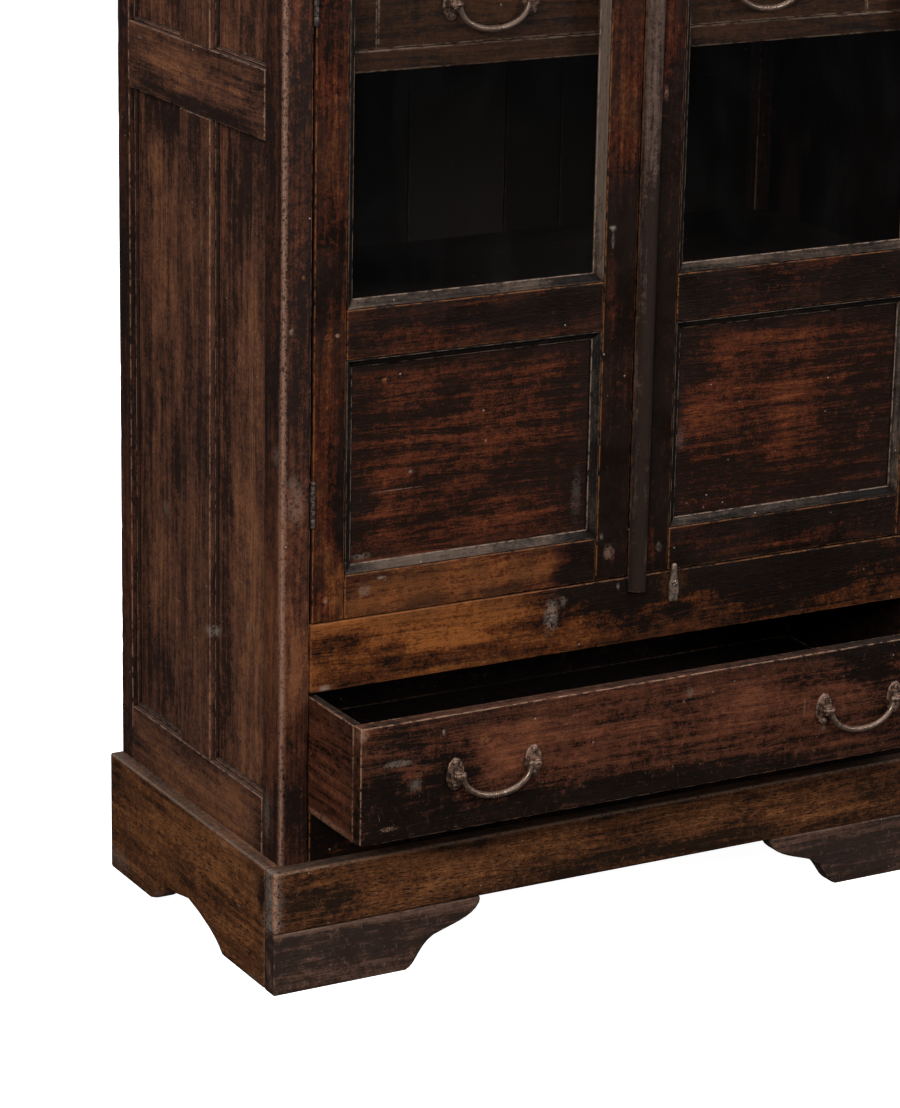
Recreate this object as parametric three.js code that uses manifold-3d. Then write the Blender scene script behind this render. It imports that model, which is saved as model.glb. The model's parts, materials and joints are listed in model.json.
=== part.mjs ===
// A two-door china cabinet on a bracket plinth, in millimetres, +Z up.
// Built with x from the cabinet's centre plane, y from the plinth's front face towards the back,
// and z from the floor. The lower drawer stands partly open, as it does at rest.
import * as THREE from "three";
import { mergeVertices } from "three/addons/utils/BufferGeometryUtils.js";
import Module from "manifold-3d";

const wasm = await Module();
wasm.setup();

// ---------------------------------------------------------------- driving dimensions
const HALF_WIDTH = 525; // plinth and cornice, from the centre plane
const DEPTH = 500;
const HEIGHT = 2130;
const GAP = 0.3; // between pieces that touch

const PLINTH_HEIGHT = 166;
const PLINTH_BOARD = 28;
const FOOT_HEIGHT = 83;
const FOOT_REACH = 225; // from the centre plane to a front foot's nose
const FOOT_BASE = 335; // from the centre plane to the inner end of a foot's flat base
const ARRIS = 5; // rounding on the plinth's top edge

const CASE_HALF = 507; // outer side of the carcase
const CASE_FRONT = 21;
const CASE_TOP = 2070;
const POST_WIDTH = 41;
const FRONT_POST_DEPTH = 52;
const REAR_POST_DEPTH = 35;
const SIDE_FRAME = 11.7; // thickness of the side rails and muntins
const SIDE_PANEL = 8;
const BACK_BOARD = 10;
const BOARD = 18; // shelves and floors

const SIDE_BOTTOM_RAIL_TOP = 242;
const SIDE_MIDDLE_RAIL = [1085, 1172];
const SIDE_TOP_RAIL_BOTTOM = 2012;
const MUNTIN = [225, 313];

const FRONT_RAIL = 22;
const DRAWER_OPENING = [231, 391];
const DOOR_BOTTOM = 482.2;
const DOOR_TOP = 2035.5;
const SHELF_TOP = 838;
const INNER_FLOOR = [1160, 1187];
const INNER_OPENING_TOP = 1291;
const INNER_FRAME_TOP = 1311;
const INNER_FRONT = 64; // face of the inner drawers

const DOOR_THICKNESS = 24;
const DOOR_OUTER = 464; // hinged edge
const DOOR_STILE = 45;
const MEETING_EDGES = { left: -5.2, right: -3.6 };
const MEETING_STILE_INNER = { left: -53, right: 57 };
const DOOR_BOTTOM_RAIL_TOP = 539.5;
const DOOR_MIDDLE_RAIL = [815, 878];
const DOOR_TOP_RAIL_BOTTOM = 1978;
const PANEL = { recess: 10, thickness: 10 };
const GLASS = { recess: 12, thickness: 3 };
const ASTRAGAL = { centre: 8.75, radius: 12.8, bottom: 462 };

const HINGE = { x: 465, y: 19.5, radius: 3.2, length: 59, leaf: 1.2, leafDepth: 22 };
const HINGE_HEIGHTS = { lower: 637, middle: 1258.6, upper: 1880.2 };
const HINGE_CLEARANCE = 0.4;

const BUTTON = { x: 65.8, z: 464.8, width: 13, height: 52, thickness: 4 };

const DRAWER_OPEN = 135; // how far the lower drawer stands out at rest
const DRAWER = { half: 464.8, bottom: 232, top: 387, front: 20, length: 439, wall: 12 };
const DRAWER_BASE = { lift: 7, thickness: 8 };
const INNER_DRAWER = { near: 45, far: 358.4, bottom: 1187.5, top: 1289.5, length: 366, wall: 9 };
const INNER_DRAWER_FRONT = 16;
const RUN = 1; // side clearance of the inner drawers

const BAIL = { half: 56, drop: 34.5, radius: 4, pin: 2.4, standOff: 10 };
const LOWER_BAIL = { x: 276, z: 309 };
const INNER_BAIL = { x: 201.7, z: 1238 };

// ---------------------------------------------------------------- materials
const wood = (color, roughness = 0.6) => new THREE.MeshStandardMaterial({ color, roughness, metalness: 0 });
const PLINTH_WOOD = wood(0x4a2c1b);
const FOOT_WOOD = wood(0x35251d);
const POST_WOOD = wood(0x4b2a19, 0.5);
const SIDE_WOOD = wood(0x3c2215);
const RAIL_WOOD = wood(0x45260f, 0.5);
const DOOR_WOOD = wood(0x2c1710, 0.45);
const DRAWER_WOOD = wood(0x2f1a13, 0.5);
const INSIDE_WOOD = wood(0x1c120d, 0.8);
const TRIM_WOOD = wood(0x4f4137, 0.4);
const IRON = new THREE.MeshStandardMaterial({ color: 0x5a4a40, roughness: 0.55, metalness: 0.8 });
const OLD_GLASS = new THREE.MeshStandardMaterial({
  color: 0x20262a,
  roughness: 0.05,
  metalness: 0,
  transparent: true,
  opacity: 0.3,
});

// ---------------------------------------------------------------- joining and cutting
// A closed geometry as a manifold-3d solid.
function solidOf(geometry) {
  const bare = geometry.clone();
  bare.deleteAttribute("normal");
  bare.deleteAttribute("uv");
  const merged = mergeVertices(bare, 1e-4);
  return new wasm.Manifold(
    new wasm.Mesh({
      numProp: 3,
      vertProperties: merged.attributes.position.array,
      triVerts: new Uint32Array(merged.index.array),
    }),
  );
}

function geometryOf(solid) {
  const mesh = solid.getMesh();
  const geometry = new THREE.BufferGeometry();
  geometry.setAttribute("position", new THREE.BufferAttribute(mesh.vertProperties, 3));
  geometry.setIndex(new THREE.BufferAttribute(mesh.triVerts, 1));
  const faceted = geometry.toNonIndexed();
  faceted.computeVertexNormals();
  return faceted;
}

const joined = (first, ...others) =>
  geometryOf(others.reduce((whole, other) => whole.add(solidOf(other)), solidOf(first)));
const cut = (whole, ...tools) =>
  geometryOf(tools.reduce((rest, tool) => rest.subtract(solidOf(tool)), solidOf(whole)));
const common = (a, b) => geometryOf(solidOf(a).intersect(solidOf(b)));

// ---------------------------------------------------------------- basic shapes
function box([x0, x1], [y0, y1], [z0, z1]) {
  const geometry = new THREE.BoxGeometry(x1 - x0, y1 - y0, z1 - z0);
  return geometry.translate((x0 + x1) / 2, (y0 + y1) / 2, (z0 + z1) / 2);
}

function extruded(shape, length, curveSegments = 8) {
  return new THREE.ExtrudeGeometry(shape, { depth: length, bevelEnabled: false, curveSegments });
}

const outline = (points) => new THREE.Shape(points.map(([u, v]) => new THREE.Vector2(u, v)));

// A shape drawn in (x, z), made solid from y0 to y1.
function alongY(shape, [y0, y1]) {
  return extruded(shape, y1 - y0)
    .rotateX(Math.PI / 2)
    .translate(0, y1, 0);
}

// A shape drawn in (y, z), made solid from x0 to x1.
function alongX(shape, [x0, x1]) {
  return extruded(shape, x1 - x0)
    .rotateX(Math.PI / 2)
    .rotateZ(Math.PI / 2)
    .translate(x0, 0, 0);
}

// A shape drawn in (x, y), made solid from z0 to z1.
function alongZ(shape, [z0, z1]) {
  return extruded(shape, z1 - z0).translate(0, 0, z0);
}

const cabinet = new THREE.Group();

function add(name, material, geometry, parent = cabinet) {
  const mesh = new THREE.Mesh(geometry, material);
  mesh.name = name;
  parent.add(mesh);
  return mesh;
}

// Both hands of a piece: sign -1 is the left, +1 the right.
const SIDES = [
  ["left", -1],
  ["right", 1],
];
const sided = (sign, near, far) => [sign * near, sign * far].sort((a, b) => a - b);
const inset = ([low, high]) => [low + GAP, high - GAP];

const POST_INNER = CASE_HALF - POST_WIDTH;
const POST_BACK = CASE_FRONT + FRONT_POST_DEPTH;
const REAR_POST_FRONT = DEPTH - REAR_POST_DEPTH;
const PANEL_OUTER = CASE_HALF - SIDE_FRAME - GAP;
const PANEL_INNER = PANEL_OUTER - SIDE_PANEL;
const BACK_FACE = DEPTH - 4 - BACK_BOARD; // front of the back boards
const RAIL_BACK = CASE_FRONT + FRONT_RAIL;
const BETWEEN_POSTS = [-POST_INNER + GAP, POST_INNER - GAP];
const DOOR_BACK = CASE_FRONT + DOOR_THICKNESS;

// ---------------------------------------------------------------- plinth
function plinth() {
  const front = new THREE.Shape();
  front.moveTo(0, FOOT_HEIGHT + GAP);
  front.lineTo(PLINTH_BOARD, FOOT_HEIGHT + GAP);
  front.lineTo(PLINTH_BOARD, PLINTH_HEIGHT);
  front.lineTo(ARRIS, PLINTH_HEIGHT);
  front.absarc(ARRIS, PLINTH_HEIGHT - ARRIS, ARRIS, Math.PI / 2, Math.PI, false);
  add("plinth_front_board", PLINTH_WOOD, alongX(front, [-HALF_WIDTH, HALF_WIDTH]));

  for (const [side, sign] of SIDES) {
    add("plinth_foot_" + side, FOOT_WOOD, alongY(footShape(sign), [0, PLINTH_BOARD]));
    const skin = sided(sign, HALF_WIDTH - PLINTH_BOARD, HALF_WIDTH);
    add("plinth_side_" + side, PLINTH_WOOD, alongX(plinthSideShape(), skin));
  }
}

// A front foot block: flat base, an ogee up the inner end, and a rounded nose.
function footShape(sign) {
  const foot = new THREE.Shape();
  foot.moveTo(sign * HALF_WIDTH, 0);
  foot.lineTo(sign * FOOT_BASE, 0);
  foot.bezierCurveTo(sign * 317, 5, sign * 316, 38, sign * 284, 45);
  foot.bezierCurveTo(sign * 262, 52, sign * FOOT_REACH, 60, sign * FOOT_REACH, FOOT_HEIGHT);
  foot.lineTo(sign * HALF_WIDTH, FOOT_HEIGHT);
  return foot;
}

// A side board with its two feet: a low arch, and a hollow behind the rear foot's nose.
function plinthSideShape() {
  const board = new THREE.Shape();
  board.moveTo(PLINTH_BOARD + GAP, 0);
  board.lineTo(152, 0);
  board.bezierCurveTo(172, 20, 200, 26, 220, 33);
  board.quadraticCurveTo(240, 38, 254, 41);
  board.lineTo(300, 33);
  board.quadraticCurveTo(318, 37, 329, 25);
  board.quadraticCurveTo(340, 8, 372, 0);
  board.lineTo(DEPTH, 0);
  board.lineTo(DEPTH, PLINTH_HEIGHT);
  board.lineTo(PLINTH_BOARD + GAP, PLINTH_HEIGHT);
  return board;
}

// ---------------------------------------------------------------- carcase
function hingeNotch(sign, z) {
  const radius = HINGE.radius + HINGE_CLEARANCE;
  const length = HINGE.length + 2 * HINGE_CLEARANCE;
  return new THREE.CylinderGeometry(radius, radius, length, 16)
    .rotateX(Math.PI / 2)
    .translate(sign * HINGE.x, HINGE.y, z);
}

const hingeNotches = (sign) => Object.values(HINGE_HEIGHTS).map((z) => hingeNotch(sign, z));

function posts() {
  for (const [side, sign] of SIDES) {
    const across = sided(sign, POST_INNER, CASE_HALF);
    const height = [PLINTH_HEIGHT + GAP, CASE_TOP];
    const front = box(across, [CASE_FRONT, POST_BACK], height);
    add("post_front_" + side, POST_WOOD, cut(front, ...hingeNotches(sign)));
    add("post_rear_" + side, POST_WOOD, box(across, [REAR_POST_FRONT, DEPTH], height));
  }
}

function sideFrames() {
  const along = inset([POST_BACK, REAR_POST_FRONT]);
  const half = SIDE_FRAME / 2;
  for (const [side, sign] of SIDES) {
    const frame = sided(sign, CASE_HALF - SIDE_FRAME, CASE_HALF);
    const outerHalf = sided(sign, CASE_HALF - half + GAP, CASE_HALF + 1);
    const innerHalf = sided(sign, CASE_HALF - SIDE_FRAME - 1, CASE_HALF - half);
    const rails = {
      bottom: [PLINTH_HEIGHT + GAP, SIDE_BOTTOM_RAIL_TOP],
      top: [SIDE_TOP_RAIL_BOTTOM, CASE_TOP],
    };
    for (const [place, height] of Object.entries(rails))
      add("side_rail_" + place + "_" + side, SIDE_WOOD, box(frame, along, height));

    // The muntin and the middle rail cross in a halved joint, the rail outside.
    const crossing = [MUNTIN[0] - GAP, MUNTIN[1] + GAP];
    const middle = box(frame, along, SIDE_MIDDLE_RAIL);
    const railNotch = box(innerHalf, crossing, [SIDE_MIDDLE_RAIL[0] - 1, SIDE_MIDDLE_RAIL[1] + 1]);
    add("side_rail_middle_" + side, SIDE_WOOD, cut(middle, railNotch));
    const muntin = box(frame, MUNTIN, inset([SIDE_BOTTOM_RAIL_TOP, SIDE_TOP_RAIL_BOTTOM]));
    const lapHeight = [SIDE_MIDDLE_RAIL[0] - GAP, SIDE_MIDDLE_RAIL[1] + GAP];
    const lap = box(sided(sign, CASE_HALF - half - GAP, CASE_HALF + 1), [0, DEPTH], lapHeight);
    add("side_muntin_" + side, SIDE_WOOD, cut(muntin, lap));

    const panel = sided(sign, PANEL_INNER, PANEL_OUTER);
    add("side_panel_" + side, SIDE_WOOD, box(panel, along, [PLINTH_HEIGHT + GAP, CASE_TOP]));
  }
}

function frontRails() {
  const depth = [CASE_FRONT, RAIL_BACK];
  const rails = {
    bottom: [PLINTH_HEIGHT + GAP, DRAWER_OPENING[0]],
    middle: [DRAWER_OPENING[1], DOOR_BOTTOM - 1.5],
    top: [DOOR_TOP + 1.5, CASE_TOP],
  };
  for (const [place, height] of Object.entries(rails))
    add("front_rail_" + place, RAIL_WOOD, box(BETWEEN_POSTS, depth, height));
}

// A board that fills the carcase, notched round the posts at its corners.
function shelfShape(front) {
  const wide = PANEL_INNER - GAP;
  const narrow = POST_INNER - GAP;
  const postBack = POST_BACK + GAP;
  const rearPost = REAR_POST_FRONT - GAP;
  const back = BACK_FACE - GAP;
  return outline([
    [-narrow, front],
    [narrow, front],
    [narrow, postBack],
    [wide, postBack],
    [wide, rearPost],
    [narrow, rearPost],
    [narrow, back],
    [-narrow, back],
    [-narrow, rearPost],
    [-wide, rearPost],
    [-wide, postBack],
    [-narrow, postBack],
  ]);
}

function boards() {
  const floorTop = DOOR_BOTTOM - 1.5;
  const shelves = {
    carcase_bottom: [RAIL_BACK + GAP, [DRAWER_OPENING[0] - BOARD, DRAWER_OPENING[0]]],
    cupboard_floor: [RAIL_BACK + GAP, [floorTop - BOARD, floorTop]],
    shelf_lower: [RAIL_BACK + 25, [SHELF_TOP - BOARD, SHELF_TOP]],
    drawer_shelf: [INNER_FRONT, [INNER_FLOOR[0], INNER_FLOOR[1] - GAP]],
    shelf_over_drawers: [INNER_FRONT, [INNER_FRAME_TOP + GAP, INNER_FRAME_TOP + BOARD]],
  };
  for (const [name, [front, height]] of Object.entries(shelves))
    add(name, INSIDE_WOOD, alongZ(shelfShape(front), height));
  const back = [BACK_FACE, BACK_FACE + BACK_BOARD];
  add("back_boards", INSIDE_WOOD, box(BETWEEN_POSTS, back, [PLINTH_HEIGHT + GAP, CASE_TOP]));
}

// The frame the inner drawers slide in: a top rail and three uprights in one plane.
function drawerFrame() {
  const depth = [INNER_FRONT, INNER_FRONT + BOARD];
  const whole = box(BETWEEN_POSTS, depth, [INNER_FLOOR[1], INNER_FRAME_TOP]);
  const openings = SIDES.map(([, sign]) =>
    box(
      sided(sign, INNER_DRAWER.near - RUN, INNER_DRAWER.far + RUN),
      [0, DEPTH],
      [INNER_FLOOR[1] - 1, INNER_OPENING_TOP],
    ),
  );
  add("drawer_frame", RAIL_WOOD, cut(whole, ...openings));
}

// The top: a cap with a cove round the front and both sides, hollow below.
function cornice() {
  const low = CASE_TOP + GAP;
  const reach = HALF_WIDTH - CASE_HALF;
  const coveTop = HEIGHT - 20;
  const cap = HEIGHT - low;
  const front = new THREE.Shape();
  front.moveTo(CASE_FRONT - 2, low);
  front.lineTo(DEPTH, low);
  front.lineTo(DEPTH, HEIGHT);
  front.lineTo(CASE_FRONT - reach, HEIGHT);
  front.lineTo(CASE_FRONT - reach, coveTop);
  front.quadraticCurveTo(CASE_FRONT - 2, coveTop, CASE_FRONT - 2, low + cap / 4);
  const across = new THREE.Shape();
  across.moveTo(-CASE_HALF - 2, low);
  across.lineTo(CASE_HALF + 2, low);
  across.lineTo(CASE_HALF + 2, low + cap / 4);
  across.quadraticCurveTo(CASE_HALF + 2, coveTop, HALF_WIDTH, coveTop);
  across.lineTo(HALF_WIDTH, HEIGHT);
  across.lineTo(-HALF_WIDTH, HEIGHT);
  across.lineTo(-HALF_WIDTH, coveTop);
  across.quadraticCurveTo(-CASE_HALF - 2, coveTop, -CASE_HALF - 2, low + cap / 4);
  const block = common(alongX(front, [-HALF_WIDTH, HALF_WIDTH]), alongY(across, [0, DEPTH]));
  const hollow = box([-PANEL_INNER, PANEL_INNER], [RAIL_BACK, BACK_FACE], [low - 1, HEIGHT - BOARD]);
  add("cornice", RAIL_WOOD, cut(block, hollow));
}

// ---------------------------------------------------------------- hinges and turn button
// One butt hinge: its knuckle, and the leaf let in between the door and the post.
function hinges() {
  for (const [side, sign] of SIDES)
    for (const [place, z] of Object.entries(HINGE_HEIGHTS)) {
      const knuckle = new THREE.CylinderGeometry(HINGE.radius, HINGE.radius, HINGE.length, 12)
        .rotateX(Math.PI / 2)
        .translate(sign * HINGE.x, HINGE.y, z);
      const leaf = box(
        [sign * HINGE.x - HINGE.leaf / 2, sign * HINGE.x + HINGE.leaf / 2],
        [HINGE.y, HINGE.y + HINGE.leafDepth],
        [z - HINGE.length / 2, z + HINGE.length / 2],
      );
      add("hinge_" + side + "_" + place, IRON, joined(knuckle, leaf));
    }
}

function turnButton() {
  const radius = BUTTON.width / 2;
  const straight = BUTTON.height / 2 - radius;
  const bar = new THREE.Shape();
  bar.absarc(0, straight, radius, 0, Math.PI, false);
  bar.absarc(0, -straight, radius, Math.PI, 2 * Math.PI, false);
  const depth = [CASE_FRONT - 0.6 - BUTTON.thickness, CASE_FRONT - 0.6];
  add("turn_button", IRON, alongY(bar, depth).translate(BUTTON.x, 0, BUTTON.z));
}

// ---------------------------------------------------------------- doors
function door(side, sign) {
  const depth = [CASE_FRONT, DOOR_BACK];
  const height = [DOOR_BOTTOM, DOOR_TOP];
  const meetingEdge = MEETING_EDGES[side];
  const meetingInner = MEETING_STILE_INNER[side];
  const stileInner = sign * (DOOR_OUTER - DOOR_STILE);
  const ordered = (a, b) => [Math.min(a, b), Math.max(a, b)];
  const hung = box(ordered(sign * DOOR_OUTER, stileInner), depth, height);
  const name = "door_" + side + "_";
  add(name + "hinge_stile", DOOR_WOOD, cut(hung, ...hingeNotches(sign)));
  add(name + "meeting_stile", DOOR_WOOD, box(ordered(meetingEdge, meetingInner), depth, height));

  const between = inset(ordered(stileInner, meetingInner));
  const rails = {
    bottom_rail: [DOOR_BOTTOM, DOOR_BOTTOM_RAIL_TOP],
    middle_rail: DOOR_MIDDLE_RAIL,
    top_rail: [DOOR_TOP_RAIL_BOTTOM, DOOR_TOP],
  };
  for (const [rail, span] of Object.entries(rails))
    add(name + rail, DOOR_WOOD, box(between, depth, span));

  const panelFront = CASE_FRONT + PANEL.recess;
  const panelHeight = inset([DOOR_BOTTOM_RAIL_TOP, DOOR_MIDDLE_RAIL[0]]);
  add(name + "panel", DOOR_WOOD, box(between, [panelFront, panelFront + PANEL.thickness], panelHeight));
  const glassFront = CASE_FRONT + GLASS.recess;
  const glassHeight = inset([DOOR_MIDDLE_RAIL[1], DOOR_TOP_RAIL_BOTTOM]);
  add(name + "glass", OLD_GLASS, box(between, [glassFront, glassFront + GLASS.thickness], glassHeight));
}

// The half-round strip on the right door that covers the meeting of the two doors.
function astragal() {
  const half = new THREE.Shape();
  half.absarc(ASTRAGAL.centre, CASE_FRONT - 0.4, ASTRAGAL.radius, Math.PI, 2 * Math.PI, false);
  add("astragal", TRIM_WOOD, alongZ(half, [ASTRAGAL.bottom, DOOR_TOP]));
}

// ---------------------------------------------------------------- drawers
function lowerDrawer() {
  const face = CASE_FRONT - DRAWER_OPEN;
  const boxFront = face + DRAWER.front + GAP;
  const back = face + DRAWER.length;
  const across = [-DRAWER.half, DRAWER.half];
  const front = box(across, [face, face + DRAWER.front], [DRAWER.bottom, DRAWER.top]);
  add("lower_drawer_front", DRAWER_WOOD, front);
  const floor = DRAWER.bottom + DRAWER_BASE.lift + DRAWER_BASE.thickness;
  const inside = DRAWER.half - DRAWER.wall;
  const body = box(across, [boxFront, back], [DRAWER.bottom, DRAWER.top - 1.5]);
  const hollow = box([-inside, inside], [boxFront + 2, back - DRAWER.wall], [floor, DRAWER.top]);
  const under = box([-inside, inside], [0 - DEPTH, DEPTH], [0, DRAWER.bottom + DRAWER_BASE.lift]);
  add("lower_drawer_box", DRAWER_WOOD, cut(body, hollow, under));
  for (const [side, sign] of SIDES)
    bail("lower_bail_" + side, sign * LOWER_BAIL.x, face, LOWER_BAIL.z);
}

function innerDrawers() {
  for (const [side, sign] of SIDES) {
    const across = sided(sign, INNER_DRAWER.near, INNER_DRAWER.far);
    const inside = sided(sign, INNER_DRAWER.near + INNER_DRAWER.wall, INNER_DRAWER.far - INNER_DRAWER.wall);
    const back = INNER_FRONT + INNER_DRAWER.length;
    const body = box(across, [INNER_FRONT, back], [INNER_DRAWER.bottom, INNER_DRAWER.top]);
    const hollowDepth = [INNER_FRONT + INNER_DRAWER_FRONT, back - INNER_DRAWER.wall];
    const floor = INNER_DRAWER.bottom + INNER_DRAWER.wall;
    const hollow = box(inside, hollowDepth, [floor, INNER_DRAWER.top + 1]);
    add("inner_drawer_" + side, DRAWER_WOOD, cut(body, hollow));
    bail("inner_bail_" + side, sign * INNER_BAIL.x, INNER_FRONT, INNER_BAIL.z);
  }
}

// A drop handle: a round bar bent to half an ellipse, with a pin turned outwards at each end.
function bail(name, x, face, z) {
  const arcHalf = BAIL.half - 6;
  const arc = new THREE.Curve();
  arc.getPoint = (t) => {
    const turn = Math.PI * t;
    return new THREE.Vector3(-arcHalf * Math.cos(turn), 0, -BAIL.drop * Math.sin(turn));
  };
  const section = new THREE.Shape();
  section.absarc(0, 0, BAIL.radius, 0, 2 * Math.PI, false);
  const bar = new THREE.ExtrudeGeometry(section, { steps: 20, extrudePath: arc, curveSegments: 8 });
  const pinLength = 12;
  const pins = [-1, 1].map((end) =>
    new THREE.CylinderGeometry(BAIL.pin, BAIL.pin, pinLength, 10)
      .rotateZ(Math.PI / 2)
      .translate(end * BAIL.half, 0, -1),
  );
  const mesh = add(name, IRON, joined(bar, ...pins));
  mesh.position.set(x, face - BAIL.standOff, z);
}

plinth();
posts();
sideFrames();
frontRails();
boards();
drawerFrame();
cornice();
hinges();
turnButton();
for (const [side, sign] of SIDES) door(side, sign);
astragal();
lowerDrawer();
innerDrawers();

// The origin is under the middle of the whole object, open drawer and handles included.
const foremost = CASE_FRONT - DRAWER_OPEN - BAIL.standOff - BAIL.radius;
cabinet.position.set(0, -(foremost + DEPTH) / 2, 0);
const part = new THREE.Group();
part.add(cabinet);

export default part;
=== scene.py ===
import json
import math
import random

import bmesh
import bpy
import numpy as np
from mathutils import Matrix, Vector
from mathutils.kdtree import KDTree


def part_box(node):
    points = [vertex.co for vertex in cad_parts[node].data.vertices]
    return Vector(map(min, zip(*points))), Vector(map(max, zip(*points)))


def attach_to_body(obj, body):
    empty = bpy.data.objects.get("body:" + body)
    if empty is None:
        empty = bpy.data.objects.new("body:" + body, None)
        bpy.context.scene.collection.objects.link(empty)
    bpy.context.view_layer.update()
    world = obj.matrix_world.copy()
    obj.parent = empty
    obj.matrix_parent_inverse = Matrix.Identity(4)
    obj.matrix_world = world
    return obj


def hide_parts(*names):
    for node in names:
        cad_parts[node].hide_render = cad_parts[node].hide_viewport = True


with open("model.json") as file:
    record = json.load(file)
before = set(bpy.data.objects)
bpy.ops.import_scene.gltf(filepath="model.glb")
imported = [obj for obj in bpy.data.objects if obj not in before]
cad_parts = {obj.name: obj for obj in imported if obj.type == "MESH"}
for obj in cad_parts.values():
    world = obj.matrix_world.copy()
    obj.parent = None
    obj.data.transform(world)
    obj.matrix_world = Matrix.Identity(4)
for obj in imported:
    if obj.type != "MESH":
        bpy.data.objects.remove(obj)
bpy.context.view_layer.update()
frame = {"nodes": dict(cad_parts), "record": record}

X, Y, Z = 0, 1, 2
RECORD = frame["record"]
BODY_OF = {node: body for body, nodes in RECORD["behaviour"]["bodies"].items() for node in nodes}
SLOT_OF = {row["node"]: row["material_slot"] for row in RECORD["subparts"]}
SIDES = (("left", -1), ("right", 1))


# ------------------------------------------------------------------ numbers read off the frame
def span(node, axis):
    low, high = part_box(node)
    return low[axis], high[axis]


FRONT = span("front_rail_middle", Y)[0]  # the plane of the carcase's face


# ------------------------------------------------------------------ smooth noise on arrays
def lattice(ijk, seed):
    """A repeatable random number from 0 to 1 for each whole-number point."""
    mixed = (ijk * np.array([73856093, 19349663, 83492791])).sum(axis=-1) + seed * 2654435
    mixed = (mixed ^ (mixed >> 13)) * 1274126177
    return ((mixed ^ (mixed >> 16)) & 0xFFFFF) / float(0xFFFFF)


def noise_at(points, scale, seed=0):
    """Smooth noise from -1 to 1 at each point; scale is the size of a blotch in metres."""
    p = np.asarray(points) / scale
    cell = np.floor(p).astype(np.int64)
    f = p - cell
    f = f * f * (3 - 2 * f)
    total = np.zeros(len(p))
    for corner in range(8):
        step = np.array([corner & 1, corner >> 1 & 1, corner >> 2 & 1])
        weight = np.where(step, f, 1 - f).prod(axis=1)
        total += weight * lattice(cell + step, seed)
    return 2 * total - 1


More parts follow.
